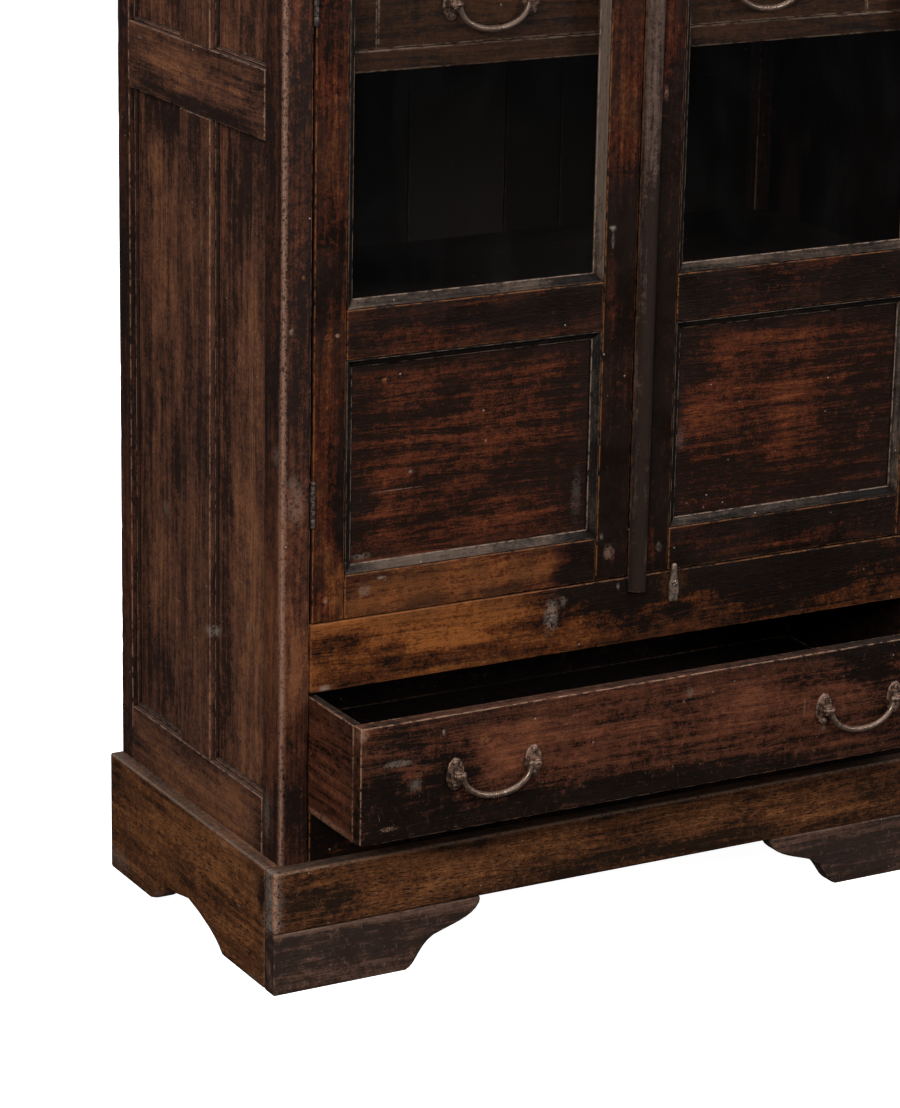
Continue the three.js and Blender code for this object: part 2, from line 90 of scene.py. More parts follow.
# ------------------------------------------------------------------ patina: where the wood is dark or light
# Each patch is (x or y, z, half width, half height, tone), in metres in the row frame. A negative tone is
# blackened, a positive one worn to amber. Both sides share SIDE_PATCHES. None is centred
# above 1.22 m, since the photo shows little more.
FRONT_PATCHES = [
    # left post and the hinged stile beside it
    (-0.487, 1.05, 0.03, 0.20, -0.35), (-0.487, 0.78, 0.03, 0.10, -0.55), (-0.487, 0.42, 0.05, 0.22, 0.95),
    (-0.487, 0.20, 0.04, 0.05, -0.3), (-0.44, 1.12, 0.03, 0.16, 0.3), (-0.45, 0.92, 0.03, 0.07, -0.8),
    (-0.44, 0.76, 0.03, 0.10, 0.3), (-0.44, 0.60, 0.04, 0.12, -0.2), (-0.44, 0.50, 0.03, 0.04, 0.3),
    # left door: middle rail, panel, bottom rail, meeting stile
    (-0.24, 0.852, 0.20, 0.028, -0.7), (-0.28, 0.822, 0.12, 0.012, 0.5), (-0.12, 0.855, 0.08, 0.03, -0.8),
    (-0.38, 0.86, 0.05, 0.03, 0.15), (-0.39, 0.78, 0.05, 0.05, -0.7), (-0.25, 0.76, 0.12, 0.05, -0.2),
    (-0.08, 0.68, 0.045, 0.18, -1.1), (-0.19, 0.70, 0.10, 0.035, 0.3), (-0.35, 0.66, 0.03, 0.025, 0.4),
    (-0.30, 0.65, 0.03, 0.02, -0.7), (-0.40, 0.60, 0.03, 0.07, -0.9), (-0.18, 0.625, 0.12, 0.02, -0.5),
    (-0.26, 0.575, 0.13, 0.025, 0.55), (-0.12, 0.58, 0.05, 0.04, -0.4), (-0.25, 0.80, 0.16, 0.012, -0.6),
    (-0.27, 0.51, 0.22, 0.06, 1.3), (-0.07, 0.51, 0.035, 0.04, -0.9), (-0.03, 1.15, 0.03, 0.16, 0.1),
    (-0.03, 0.90, 0.04, 0.12, -1.0), (-0.03, 0.74, 0.04, 0.06, -0.4), (-0.03, 0.58, 0.04, 0.12, -1.0),
    # right door: meeting stile, middle rail, panel, bottom rail
    (0.04, 1.22, 0.03, 0.09, 0.1), (0.04, 1.02, 0.03, 0.12, -0.5), (0.04, 0.80, 0.04, 0.14, -1.0),
    (0.04, 0.59, 0.04, 0.12, -1.0), (0.045, 0.512, 0.015, 0.015, 0.4), (0.09, 0.86, 0.06, 0.035, -0.9),
    (0.22, 0.845, 0.10, 0.025, 0.05), (0.37, 0.845, 0.07, 0.04, -0.7), (0.09, 0.68, 0.02, 0.05, 0.3),
    (0.09, 0.76, 0.03, 0.06, -0.8), (0.20, 0.775, 0.13, 0.025, 0.1), (0.22, 0.74, 0.12, 0.012, -0.5),
    (0.245, 0.67, 0.045, 0.07, 0.8), (0.14, 0.66, 0.06, 0.02, 0.2), (0.33, 0.70, 0.05, 0.05, -0.3),
    (0.37, 0.62, 0.06, 0.07, -0.7), (0.16, 0.605, 0.07, 0.025, -0.7), (0.25, 0.57, 0.10, 0.018, 0.1),
    (0.10, 0.57, 0.04, 0.03, -0.8), (0.15, 0.52, 0.12, 0.03, -0.6), (0.25, 0.495, 0.14, 0.012, 0.3),
    (0.37, 0.515, 0.06, 0.04, -0.4), (0.35, 0.68, 0.20, 0.25, -0.5), (0.30, 0.45, 0.20, 0.05, -0.4),
    # the rail under the doors
    (-0.28, 0.435, 0.21, 0.07, 0.55), (-0.35, 0.428, 0.02, 0.015, -0.9), (-0.01, 0.47, 0.12, 0.035, -1.5),
    (0.02, 0.415, 0.12, 0.03, -0.1), (0.22, 0.472, 0.15, 0.02, -1.2), (0.20, 0.43, 0.12, 0.03, -0.7),
    (0.34, 0.425, 0.12, 0.03, 0.15), (-0.08, 0.42, 0.03, 0.04, 0.3),
    # lower drawer
    (-0.43, 0.31, 0.06, 0.10, -0.8), (-0.34, 0.312, 0.05, 0.03, -0.7), (-0.28, 0.25, 0.26, 0.032, -0.9),
    (-0.27, 0.34, 0.06, 0.03, 0.4), (0.02, 0.245, 0.20, 0.018, -0.8), (-0.12, 0.33, 0.16, 0.05, 0.45),
    (0.12, 0.31, 0.16, 0.05, 0.45), (0.30, 0.37, 0.06, 0.03, -0.9), (0.32, 0.30, 0.06, 0.05, -0.3),
    (-0.39, 0.30, 0.02, 0.02, 0.5), (0.25, 0.26, 0.08, 0.02, 0.2),
    # plinth and feet
    (-0.46, 0.12, 0.06, 0.035, -0.45), (-0.33, 0.13, 0.09, 0.06, 0.55), (-0.15, 0.13, 0.10, 0.04, 0.3),
    (-0.12, 0.10, 0.16, 0.015, -0.35), (0.0, 0.125, 0.06, 0.02, -0.3), (0.12, 0.14, 0.12, 0.03, 0.55),
    (0.17, 0.098, 0.06, 0.02, -0.5), (0.30, 0.13, 0.10, 0.05, 0.3), (0.42, 0.11, 0.08, 0.04, -0.3),
    (-0.35, 0.04, 0.07, 0.03, -0.2), (-0.46, 0.04, 0.05, 0.04, 0.3), (0.30, 0.04, 0.09, 0.05, -0.9),
]
SIDE_PATCHES = [
    # front post
    (-0.14, 1.02, 0.03, 0.30, -0.8), (-0.14, 0.66, 0.03, 0.10, -0.3), (-0.14, 0.50, 0.03, 0.08, -0.8),
    (-0.14, 0.35, 0.03, 0.12, 0.8), (-0.13, 0.20, 0.03, 0.04, -0.5),
    # front panel, muntin, rear panel, rear post
    (-0.05, 1.03, 0.08, 0.08, -0.8), (-0.03, 0.86, 0.06, 0.10, 0.0), (-0.06, 0.70, 0.03, 0.30, 0.35),
    (-0.05, 0.48, 0.07, 0.18, 0.45), (-0.05, 0.30, 0.06, 0.06, 0.3), (0.015, 0.60, 0.015, 0.5, -0.5),
    (0.08, 1.02, 0.04, 0.08, -0.3), (0.08, 0.92, 0.03, 0.05, 0.4), (0.08, 0.72, 0.04, 0.10, -0.3),
    (0.08, 0.35, 0.04, 0.12, 0.35), (0.20, 1.06, 0.07, 0.04, -1.0), (0.22, 0.88, 0.035, 0.14, 0.7),
    (0.16, 0.86, 0.03, 0.08, 0.2), (0.15, 0.63, 0.03, 0.06, -0.8), (0.20, 0.30, 0.07, 0.06, -0.5),
    (0.20, 0.45, 0.05, 0.08, 0.2), (0.296, 0.80, 0.02, 0.18, -0.7), (0.296, 1.12, 0.02, 0.08, -0.3),
    (0.296, 0.45, 0.02, 0.18, 0.3),
    # middle and bottom rail, plinth side
    (0.02, 1.13, 0.09, 0.03, 0.6), (0.15, 1.14, 0.09, 0.03, 0.85), (-0.10, 1.15, 0.03, 0.03, -0.7),
    (0.06, 1.095, 0.20, 0.01, -0.5), (0.0, 0.20, 0.10, 0.04, 0.3), (0.18, 0.20, 0.08, 0.03, 0.0),
    (-0.10, 0.19, 0.03, 0.03, -0.4), (-0.152, 0.13, 0.012, 0.03, -1.2), (0.06, 0.13, 0.15, 0.04, 0.35),
    (0.08, 0.08, 0.04, 0.03, -0.5), (0.29, 0.15, 0.03, 0.02, -0.6), (-0.08, 0.10, 0.06, 0.04, 0.1),
    (0.08, 0.10, 0.30, 0.12, 0.6),
]
PATCH_REACH = 1.3  # how far a patch goes, in its own half sizes
PATCH_FADE = 0.9  # the part of that over which it fades
TONE_LIMIT = 1.2


def patch_tone(points, across, grain):
    """Sum of the soft patches at each point, frayed along the grain; across is the axis along the face."""
    if across is None:
        return np.zeros(len(points))
    patches = FRONT_PATCHES if across == X else SIDE_PATCHES
    tone = np.zeros(len(points))
    along = points.copy()
    along[:, grain] *= 0.3
    wobble = 0.5 * noise_at(along, 0.026, 5) + 0.3 * noise_at(along, 0.011, 9)
    for middle, z, half_width, half_height, amount in patches:
        reach = np.hypot((points[:, across] - middle) / half_width, (points[:, Z] - z) / half_height) + wobble
        tone += amount * np.clip(PATCH_REACH - reach, 0, PATCH_FADE) / PATCH_FADE
    return np.clip(tone, -TONE_LIMIT, TONE_LIMIT)


# ------------------------------------------------------------------ meshes with grain, edge and tone
def new_object(name, mesh, material, smooth=True):
    piece = bpy.data.objects.new(name, mesh)
    bpy.context.scene.collection.objects.link(piece)
    mesh.materials.append(material)
    if smooth:
        mesh.polygons.foreach_set("use_smooth", [True] * len(mesh.polygons))
    return piece


class Build:
    """Gathers parts of one piece. Each part brings its grain axis, its distance from an edge and its tone."""

    def __init__(self):
        self.points, self.faces, self.edge, self.place, self.tone = [], [], [], [], []

    def add(self, points, faces, edge=None, grain=0, seed=0, across=0, tone=0.0):
        points = np.asarray(points, float)
        start = len(self.points)
        others = [axis for axis in range(3) if axis != grain]
        shift = [random.Random(seed + k).uniform(-5, 5) for k in range(3)]
        self.points += points.tolist()
        self.faces += [[start + corner for corner in face] for face in faces]
        self.edge += [0.1] * len(points) if edge is None else list(edge)
        self.place += (points[:, [grain] + others] + shift).tolist()
        self.tone += (patch_tone(points, across, grain) + tone).tolist()
        return self

    def make(self, name, material):
        mesh = bpy.data.meshes.new(name)
        mesh.from_pydata(self.points, [], self.faces)
        wrote = bmesh.new()
        wrote.from_mesh(mesh)
        bmesh.ops.recalc_face_normals(wrote, faces=wrote.faces)
        wrote.to_mesh(mesh)
        wrote.free()
        place = np.array(self.place).ravel()
        mesh.attributes.new("grain", "FLOAT_VECTOR", "POINT").data.foreach_set("vector", place)
        mesh.attributes.new("edge", "FLOAT", "POINT").data.foreach_set("value", self.edge)
        mesh.attributes.new("tone", "FLOAT", "POINT").data.foreach_set("value", self.tone)
        return new_object(name, mesh, material)


def grid_lines(low, high, radius, spacing):
    """Places for grid lines between low and high, closer together towards both ends."""
    half = (high - low) / 2
    near = [0, radius * 0.35, radius * 0.75, radius * 1.2]
    near += [step for step in (0.003, 0.006, 0.012) if step > radius * 1.5]
    near = [step for step in near if step < half * 0.9]
    inner_low, inner_high = low + near[-1], high - near[-1]
    count = max(1, round((inner_high - inner_low) / spacing))
    middle = [inner_low + (inner_high - inner_low) * k / count for k in range(1, count)]
    return [low + step for step in near] + middle + [high - step for step in reversed(near)]


def board_part(low, high, radius=0.0018, spacing=0.012, seed=0, chips=0.0012):
    """A rounded board with uneven, chipped edges. Returns its points, faces and edge distances."""
    low, high = np.array(low), np.array(high)
    radius = min(radius, (high - low).min() * 0.45)
    lines = [grid_lines(low[a], high[a], radius, spacing) for a in range(3)]
    index, points, faces = {}, [], []

    def vertex(place):
        key = tuple(round(value * 1e6) for value in place)
        if key not in index:
            index[key] = len(points)
            points.append(place)
        return index[key]

    for axis in range(3):
        u, v = (axis + 1) % 3, (axis + 2) % 3
        for level in (low[axis], high[axis]):
            for i in range(len(lines[u]) - 1):
                for j in range(len(lines[v]) - 1):
                    corners = []
                    for a, b in ((i, j), (i + 1, j), (i + 1, j + 1), (i, j + 1)):
                        place = [0, 0, 0]
                        place[axis], place[u], place[v] = level, lines[u][a], lines[v][b]
                        corners.append(vertex(place))
                    faces.append(corners)
    points = np.array(points)
    depths = np.sort(np.minimum(points - low, high - points), axis=1)
    edge = depths[:, 1]
    core = np.clip(points, low + radius, high - radius)
    out = points - core
    out /= np.linalg.norm(out, axis=1)[:, None]
    rounded = core + out * radius
    worn = np.exp(-edge / 0.003)
    chip = np.clip(noise_at(points, 0.011, seed) - 0.1, 0, 1) * worn * chips
    swell = (noise_at(points, 0.12, seed + 1) - 1) * 0.0002
    return rounded + out * (swell - chip)[:, None], faces, edge


def ring_faces(rings, around, capped=True):
    """Quads between rings of points that follow each other, and a face over each end."""
    faces = []
    for ring in range(rings - 1):
        for k in range(around):
            low, high = ring * around + k, ring * around + (k + 1) % around
            faces.append([low, high, high + around, low + around])
    if capped:
        faces += [list(range(around)), [(rings - 1) * around + k for k in range(around)]]
    return faces


MITRE_GAP = 0.0002


def strip_part(start, end, inward, out, profile, seed=0, step=0.012):
    """A mitred moulding from start to end. Profile points are (inward, out, sharp), round a closed line."""
    start, end, inward, out = (np.array(v, float) for v in (start, end, inward, out))
    length = np.linalg.norm(end - start)
    along = (end - start) / length
    count = max(2, round(length / step))
    points, edge = [], []
    for k in range(count + 1):
        for reach, rise, sharp in profile:
            cut = max(reach, 0) + MITRE_GAP
            place = start + along * (cut + (length - 2 * cut) * k / count)
            points.append(place + inward * reach + out * rise)
            edge.append(0.0004 if sharp else 0.006)
    points = np.array(points)
    points += out * (noise_at(points, 0.03, seed) * 0.00025)[:, None]
    return points, ring_faces(count + 1, len(profile)), edge


def lathe_part(profile, centre, axis, steps=20):
    """A turned solid. Profile points are (radius, height along axis), first and last on the axis."""
    turn = Vector(axis).to_track_quat("Z", "Y").to_matrix()
    points = []
    for radius, height in profile[1:-1]:
        for k in range(steps):
            angle = 2 * math.pi * k / steps
            place = turn @ Vector((radius * math.cos(angle), radius * math.sin(angle), height))
            points.append(place + Vector(centre))
    faces = ring_faces(len(profile) - 2, steps, capped=False)
    last = len(points) - steps
    for end, first in ((profile[0], 0), (profile[-1], last)):
        points.append(turn @ Vector((0, 0, end[1])) + Vector(centre))
        tip = len(points) - 1
        faces += [[first + k, first + (k + 1) % steps, tip] for k in range(steps)]
    return points, faces


def tube_part(path, radii, side, steps=14):
    """A bar along a flat path; side is the direction square to the path's plane."""
    side = Vector(side)
    points = []
    for k, (place, radius) in enumerate(zip(path, radii)):
        ahead = path[min(k + 1, len(path) - 1)] - path[max(k - 1, 0)]
        across = ahead.cross(side).normalized()
        for j in range(steps):
            angle = 2 * math.pi * j / steps
            points.append(place + (across * math.cos(angle) + side * math.sin(angle)) * radius)
    return points, ring_faces(len(path), steps)


def stands_for(piece, *nodes):
    """The piece rides where its nodes ride and is shown in their place."""
    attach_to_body(piece, BODY_OF[nodes[0]])
    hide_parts(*nodes)


def attach(piece, body):
    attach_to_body(piece, body)


SHARP_ANGLE = math.radians(28)  # edges turning more than this are softened and worn
FEW_LEVELS = 9  # a node with fewer levels than this on an axis is also cut close to each of them


def shaped_copy(node, name, grain, material, seed, bevel=0.0015, spacing=0.012, across=0, tone=0.0):
    """A copy of a shaped CAD node with softened edges, cut finely enough to carry wear."""
    source = frame["nodes"][node].data
    cut = bmesh.new()
    cut.from_mesh(source)
    bmesh.ops.remove_doubles(cut, verts=cut.verts, dist=1e-5)
    bmesh.ops.dissolve_limit(cut, angle_limit=0.02, verts=cut.verts, edges=cut.edges)
    sharp = [e for e in cut.edges if len(e.link_faces) == 2 and e.calc_face_angle() > SHARP_ANGLE]
    samples = []
    for e in sharp:
        a, b = e.verts[0].co, e.verts[1].co
        steps = max(1, int((b - a).length / 0.004))
        samples += [a.lerp(b, k / steps) for k in range(steps + 1)]
    levels = [sorted({round(v.co[axis], 5) for v in cut.verts}) for axis in range(3)]
    bmesh.ops.bevel(cut, geom=sharp, offset=bevel, segments=2, affect="EDGES", profile=0.6,
                    clamp_overlap=True)
    for axis in range(3):
        normal = [0, 0, 0]
        normal[axis] = 1
        low, high = levels[axis][0], levels[axis][-1]
        count = max(2, round((high - low) / spacing))
        planes = {low + (high - low) * k / count for k in range(1, count)}
        if len(levels[axis]) < FEW_LEVELS:
            nearby = [side * step for side in (-1, 1) for step in (0.004, 0.012)]
            planes |= {level + step for level in levels[axis] for step in nearby}
        for place in sorted(planes):
            if low + 0.0005 < place < high - 0.0005:
                centre = [0, 0, 0]
                centre[axis] = place
                geometry = cut.verts[:] + cut.edges[:] + cut.faces[:]
                bmesh.ops.bisect_plane(cut, geom=geometry, plane_co=centre, plane_no=normal, dist=1e-6)
    bmesh.ops.triangulate(cut, faces=[f for f in cut.faces if len(f.verts) > 4])
    cut.verts.index_update()
    points = [v.co.copy() for v in cut.verts]
    faces = [[v.index for v in f.verts] for f in cut.faces]
    cut.free()
    tree = KDTree(len(samples))
    for k, place in enumerate(samples):
        tree.insert(place, k)
    tree.balance()
    edge = [tree.find(place)[2] for place in points]
    if callable(tone):
        tone = tone(np.array(points))
    build = Build().add([tuple(p) for p in points], faces, edge, grain, seed, across, tone)
    return build.make(name, material)


# ------------------------------------------------------------------ shader graphs
class Graph:
    """A short way to write a node tree."""

    def __init__(self, name):
        self.material = bpy.data.materials.new(name)
        self.material.use_nodes = True
        self.tree = self.material.node_tree
        self.surface = self.tree.nodes["Principled BSDF"]

    def node(self, kind, inputs=(), **settings):
        made = self.tree.nodes.new("ShaderNode" + kind)
        for key, value in settings.items():
            setattr(made, key, value)
        for key, value in dict(inputs).items():
            self.feed(made, key, value)
        return made

    def feed(self, node, key, value):
        socket = node.inputs[key]
        if isinstance(value, bpy.types.NodeSocket):
            self.tree.links.new(value, socket)
        else:
            socket.default_value = value

    def attribute(self, name, output="Fac"):
        return self.node("Attribute", attribute_name=name).outputs[output]

    def noise(self, vector, scale, detail=3.0, rough=0.55, distortion=0.0):
        inputs = {"Vector": vector, "Scale": scale, "Detail": detail, "Roughness": rough,
                  "Distortion": distortion}
        return self.node("TexNoise", inputs).outputs["Fac"]

    def math(self, operation, a, b=0.0):
        return self.node("Math", {0: a, 1: b}, operation=operation).outputs[0]

    def add(self, a, b):
        return self.math("ADD", a, b)

    def times(self, a, b):
        return self.math("MULTIPLY", a, b)

    def ramp(self, value, low, high, to_low=0.0, to_high=1.0):
        inputs = {"Value": value, "From Min": low, "From Max": high, "To Min": to_low, "To Max": to_high}
        return self.node("MapRange", inputs, interpolation_type="SMOOTHSTEP").outputs["Result"]

    def stretch(self, vector, scale):
        return self.node("VectorMath", {0: vector, 1: scale}, operation="MULTIPLY").outputs[0]

    def mix(self, amount, a, b):
        made = self.node("Mix", data_type="RGBA", clamp_factor=True)
        for key, value in ((0, amount), (6, a), (7, b)):
            self.feed(made, key, value)
        return made.outputs[2]

    def bump(self, height, strength, distance):
        inputs = {"Height": height, "Strength": strength, "Distance": distance}
        return self.node("Bump", inputs).outputs["Normal"]

    def finish(self, **sockets):
        for key, value in sockets.items():
            self.feed(self.surface, key.replace("_", " "), value)
        return self.material


def colour(red, green, blue):
    return (red, green, blue, 1.0)


BLACK = colour(0.0048, 0.0027, 0.0020)
PALE = colour(0.20, 0.15, 0.12)
PINK = colour(0.26, 0.15, 0.105)
TAN = colour(0.27, 0.135, 0.085)
ORANGE = colour(0.19, 0.070, 0.024)
CAST = colour(0.14, 0.11, 0.09)
FIBRE_DARK = colour(0.008, 0.005, 0.004)
PORE_DARK = colour(0.007, 0.005, 0.004)
DIRT = colour(0.0090, 0.0050, 0.0038)
DUST = colour(0.080, 0.066, 0.057)
SPECK = colour(0.30, 0.25, 0.21)
# UNLIT is the near-black colour of the painted shade inside the cabinet
UNLIT = colour(0.0020, 0.0015, 0.0013)
GREYED = colour(0.085, 0.072, 0.062)
MARK_DEPTH = 0.02  # half the depth that a mark on a front face reaches
PANEL_FACE = span("door_left_panel", Y)[0]
DRAWER_FACE = span("lower_drawer_front", Y)[0]


def mark(g, base, place, wobble, spot):
    """A small mark: (middle, half size, colour, strength). A half size of None reaches any distance."""
    middle, half, tint, strength = spot
    scale = tuple(0.0 if size is None else 1.0 / size for size in half)
    apart = g.node("VectorMath", {0: place, 1: middle}, operation="SUBTRACT").outputs[0]
    reach = g.node("VectorMath", {0: g.stretch(apart, scale)}, operation="LENGTH").outputs["Value"]
    reach = g.add(reach, wobble[0])
    return g.mix(g.times(g.ramp(reach, 0.45, 0.90, strength * 0.9, 0.0), wobble[1]), base, tint)


def wood(name, black, mid, warm, worn, gloss=0.45, wear=0.6, wear_width=0.0026, patina=0.5, pore=0.5,
         grime=0.7, dust=0.25, grey=0.0, bands=0.6, zones=0.36, fibres=0.7, pore_from=0.60,
         pore_size=1.0, scratches=0.30, marks=()):
    """Old polished hardwood: streaked grain, dark pores, blackened and rubbed zones, worn edges, specks."""
    g = Graph(name)
    place = g.attribute("grain", "Vector")
    edge = g.attribute("edge")
    tone = g.attribute("tone")
    where = g.node("TexCoord").outputs["Object"]
    wavy = g.noise(g.stretch(place, (0.9, 6, 6)), 3.0, 2.0)
    bend = g.node("VectorMath", {0: place, 1: g.stretch(wavy, (0.0, 0.03, 0.03))}, operation="ADD").outputs[0]
    streak = g.noise(g.stretch(bend, (1.6, 40, 40)), 3.0, 5.0, 0.65)
    fibre = g.noise(g.stretch(bend, (10, 300, 300)), 3.0, 3.0, 0.6)
    pores = g.noise(g.stretch(bend, (22, 170, 170)), 3.0 * pore_size, 2.0, 0.5)
    patch = g.noise(g.stretch(place, (2.4, 5, 5)), 3.2, 4.0, 0.62)
    band = g.noise(g.stretch(bend, (1.0, 13, 13)), 3.0, 3.0, 0.6)
    cloud = g.noise(where, 16.0, 6.0, 0.68)
    fine = g.noise(where, 90.0, 4.0, 0.7)
    grit = g.noise(where, 330.0, 4.0, 0.75)
    # how light the wood is: grain, large patches and the tone painted on the mesh
    light = g.add(g.times(streak, 1.25), g.times(patch, patina))
    light = g.math("SUBTRACT", light, 0.17)
    for texture, weight in ((band, bands), (cloud, 0.75), (fine, 0.8), (grit, 1.0), (fibre, fibres)):
        light = g.add(light, g.times(g.math("SUBTRACT", texture, 0.5), weight))
    light = g.add(light, g.times(tone, zones))
    base = g.mix(g.ramp(light, 0.42, 0.80), black, mid)
    base = g.mix(g.ramp(light, 0.74, 1.18), base, warm)
    base = g.mix(g.times(g.ramp(fibre, 0.54, 0.72), pore * 0.7), base, FIBRE_DARK)
    pore_mask = g.times(g.ramp(pores, pore_from, pore_from + 0.06), g.ramp(cloud, 0.38, 0.56))
    base = g.mix(g.times(pore_mask, pore), base, PORE_DARK)
    # old dirt a little way in from the edges, and bare wood rubbed through on the arris itself
    dirt = g.times(g.ramp(edge, 0.004, 0.042, 1.0, 0.0), g.ramp(cloud, 0.36, 0.60))
    base = g.mix(g.times(dirt, grime), base, DIRT)
    rub_noise = g.noise(g.stretch(place, (26, 70, 70)), 3.0, 4.0, 0.65)
    rub = g.times(g.ramp(edge, 0.0002, wear_width, 1.0, 0.0), g.ramp(rub_noise, 0.40, 0.56))
    base = g.mix(g.times(rub, wear), base, worn)
    # pale dust on what faces up
    up = g.node("SeparateXYZ", {0: g.node("TexCoord").outputs["Normal"]}).outputs[2]
    dusty = g.times(g.ramp(up, 0.55, 0.95), g.ramp(fine, 0.40, 0.60, dust * 0.5, dust))
    base = g.mix(dusty, base, DUST)
    # pale specks and scratches
    speck = g.node("TexVoronoi", {"Vector": where, "Scale": 46.0}, feature="F1").outputs["Distance"]
    speck_on = g.times(g.ramp(speck, 0.03, 0.075, 1.0, 0.0), g.ramp(patch, 0.50, 0.56))
    base = g.mix(g.times(speck_on, 0.65), base, SPECK)
    scratch = g.noise(g.stretch(where, (40, 60, 9)), 3.0, 2.0, 0.5, 1.5)
    scratch_line = g.ramp(g.math("ABSOLUTE", g.math("SUBTRACT", scratch, 0.5)), 0.0, 0.006, 1.0, 0.0)
    scratch_on = g.times(scratch_line, g.ramp(fine, 0.50, 0.64))
    base = g.mix(g.times(scratch_on, scratches), base, worn)
    # painted shade: faces that look into the cabinet carry a tone below -1.5 and are painted nearly black
    base = g.mix(g.ramp(tone, -2.4, -1.5, 0.97, 0.0), base, UNLIT)
    if grey:
        base = g.mix(g.times(g.ramp(cloud, 0.38, 0.62), grey), base, GREYED)
    if marks:
        flake = g.noise(g.stretch(where, (150, 150, 150)), 1.0, 5.0, 0.8)
        wobble = (g.times(g.math("SUBTRACT", flake, 0.5), 4.0), g.ramp(flake, 0.42, 0.52, 0.15, 1.0))
        for spot in marks:
            base = mark(g, base, where, wobble, spot)
    worn_gloss = g.add(g.times(cloud, 0.6), g.times(fibre, 0.4))
    rough = g.ramp(worn_gloss, 0.3, 0.75, gloss - 0.10, gloss + 0.25)
    height = g.add(g.times(pores, -0.7), g.times(streak, 0.8))
    for texture, weight in ((cloud, 1.0), (fine, 0.5), (grit, 0.35)):
        height = g.add(height, g.times(texture, weight))
    return g.finish(Base_Color=base, Roughness=rough, Normal=g.bump(height, 0.7, 0.0013),
                    Specular_IOR_Level=0.04)


def on_front(x, z, half_x, half_z, tint, strength=0.8, y=FRONT):
    return ((x, y, z), (half_x, MARK_DEPTH, half_z), tint, strength)


def on_panel(x, z, half_x, half_z, tint, strength=0.8):
    return on_front(x, z, half_x, half_z, tint, strength, PANEL_FACE)


def on_drawer(x, z, half_x, half_z, tint, strength=0.8):
    return on_front(x, z, half_x, half_z, tint, strength, DRAWER_FACE)


def on_side(y, z, half_y, half_z, tint, strength=0.8):
    return ((-0.5, y, z), (0.08, half_y, half_z), tint, strength)


DOOR_MARKS = [
    on_panel(-0.360, 0.782, 0.0055, 0.0045, ORANGE, 0.9), on_front(-0.445, 0.509, 0.005, 0.004, PALE, 0.5),
    on_front(-0.043, 0.947, 0.006, 0.005, PALE, 0.9), on_front(-0.042, 0.930, 0.003, 0.016, CAST, 0.5),
    on_front(-0.034, 0.518, 0.011, 0.013, PINK, 0.4), on_front(-0.046, 0.541, 0.004, 0.006, CAST, 0.6),
    on_front(-0.390, 0.516, 0.012, 0.010, CAST, 0.6), on_front(-0.366, 0.530, 0.009, 0.003, PALE, 0.7),
    on_panel(-0.345, 0.641, 0.055, 0.0012, BLACK, 0.9), on_panel(-0.345, 0.6388, 0.050, 0.0008, PALE, 0.6),
    on_panel(-0.315, 0.655, 0.012, 0.014, BLACK, 0.75), on_panel(-0.322, 0.660, 0.004, 0.004, PALE, 0.5),
    on_front(0.062, 0.925, 0.004, 0.035, PALE, 0.5), on_front(0.030, 1.113, 0.004, 0.010, PINK, 0.5),
    on_front(0.042, 0.516, 0.005, 0.008, PALE, 0.5), on_panel(-0.409, 0.782, 0.002, 0.03, PALE, 0.4),
    on_front(-0.432, 0.848, 0.004, 0.004, PINK, 0.8), on_panel(0.075, 0.655, 0.010, 0.025, CAST, 0.2),
    on_panel(-0.080, 0.60, 0.010, 0.045, CAST, 0.2), on_panel(-0.39, 0.558, 0.02, 0.006, PALE, 0.35),
]
RAIL_MARKS = [
    on_front(-0.118, 0.445, 0.014, 0.030, CAST, 0.8), on_front(-0.100, 0.462, 0.007, 0.010, PALE, 0.4),
    on_front(0.0655, 0.4645, 0.027, 0.027, ORANGE, 0.35), on_front(0.0655, 0.4645, 0.024, 0.024, BLACK, 0.85),
    on_front(-0.018, 0.470, 0.003, 0.006, CAST, 0.7), on_front(-0.445, 0.395, 0.012, 0.006, PALE, 0.7),
    on_front(0.32, 0.43, 0.006, 0.006, BLACK, 0.7), on_front(-0.27, 0.445, 0.003, 0.006, BLACK, 0.5),
]
DRAWER_MARKS = [
    on_drawer(-0.412, 0.334, 0.028, 0.0065, PALE, 0.5), on_drawer(-0.412, 0.334, 0.016, 0.003, BLACK, 0.4),
    on_drawer(-0.387, 0.302, 0.012, 0.012, CAST, 0.45), on_drawer(-0.292, 0.348, 0.012, 0.010, ORANGE, 0.55),
    on_drawer(-0.280, 0.338, 0.006, 0.006, ORANGE, 0.5), on_drawer(0.012, 0.362, 0.008, 0.010, CAST, 0.4),
    on_drawer(-0.425, 0.250, 0.016, 0.004, PINK, 0.6), on_drawer(-0.349, 0.366, 0.003, 0.006, PALE, 0.7),
    on_drawer(0.222, 0.281, 0.006, 0.005, PALE, 0.4), on_drawer(0.19, 0.316, 0.002, 0.02, CAST, 0.4),
    on_drawer(-0.462, 0.378, 0.012, 0.012, PINK, 0.5),
    ((-0.4648, -0.22, 0.302), (0.004, 0.075, 0.0014), BLACK, 0.9),
    ((-0.4648, -0.22, 0.300), (0.004, 0.065, 0.0008), TAN, 0.4),
    ((-0.4648, -0.20, 0.237), (0.004, 0.12, 0.007), TAN, 0.5),
]
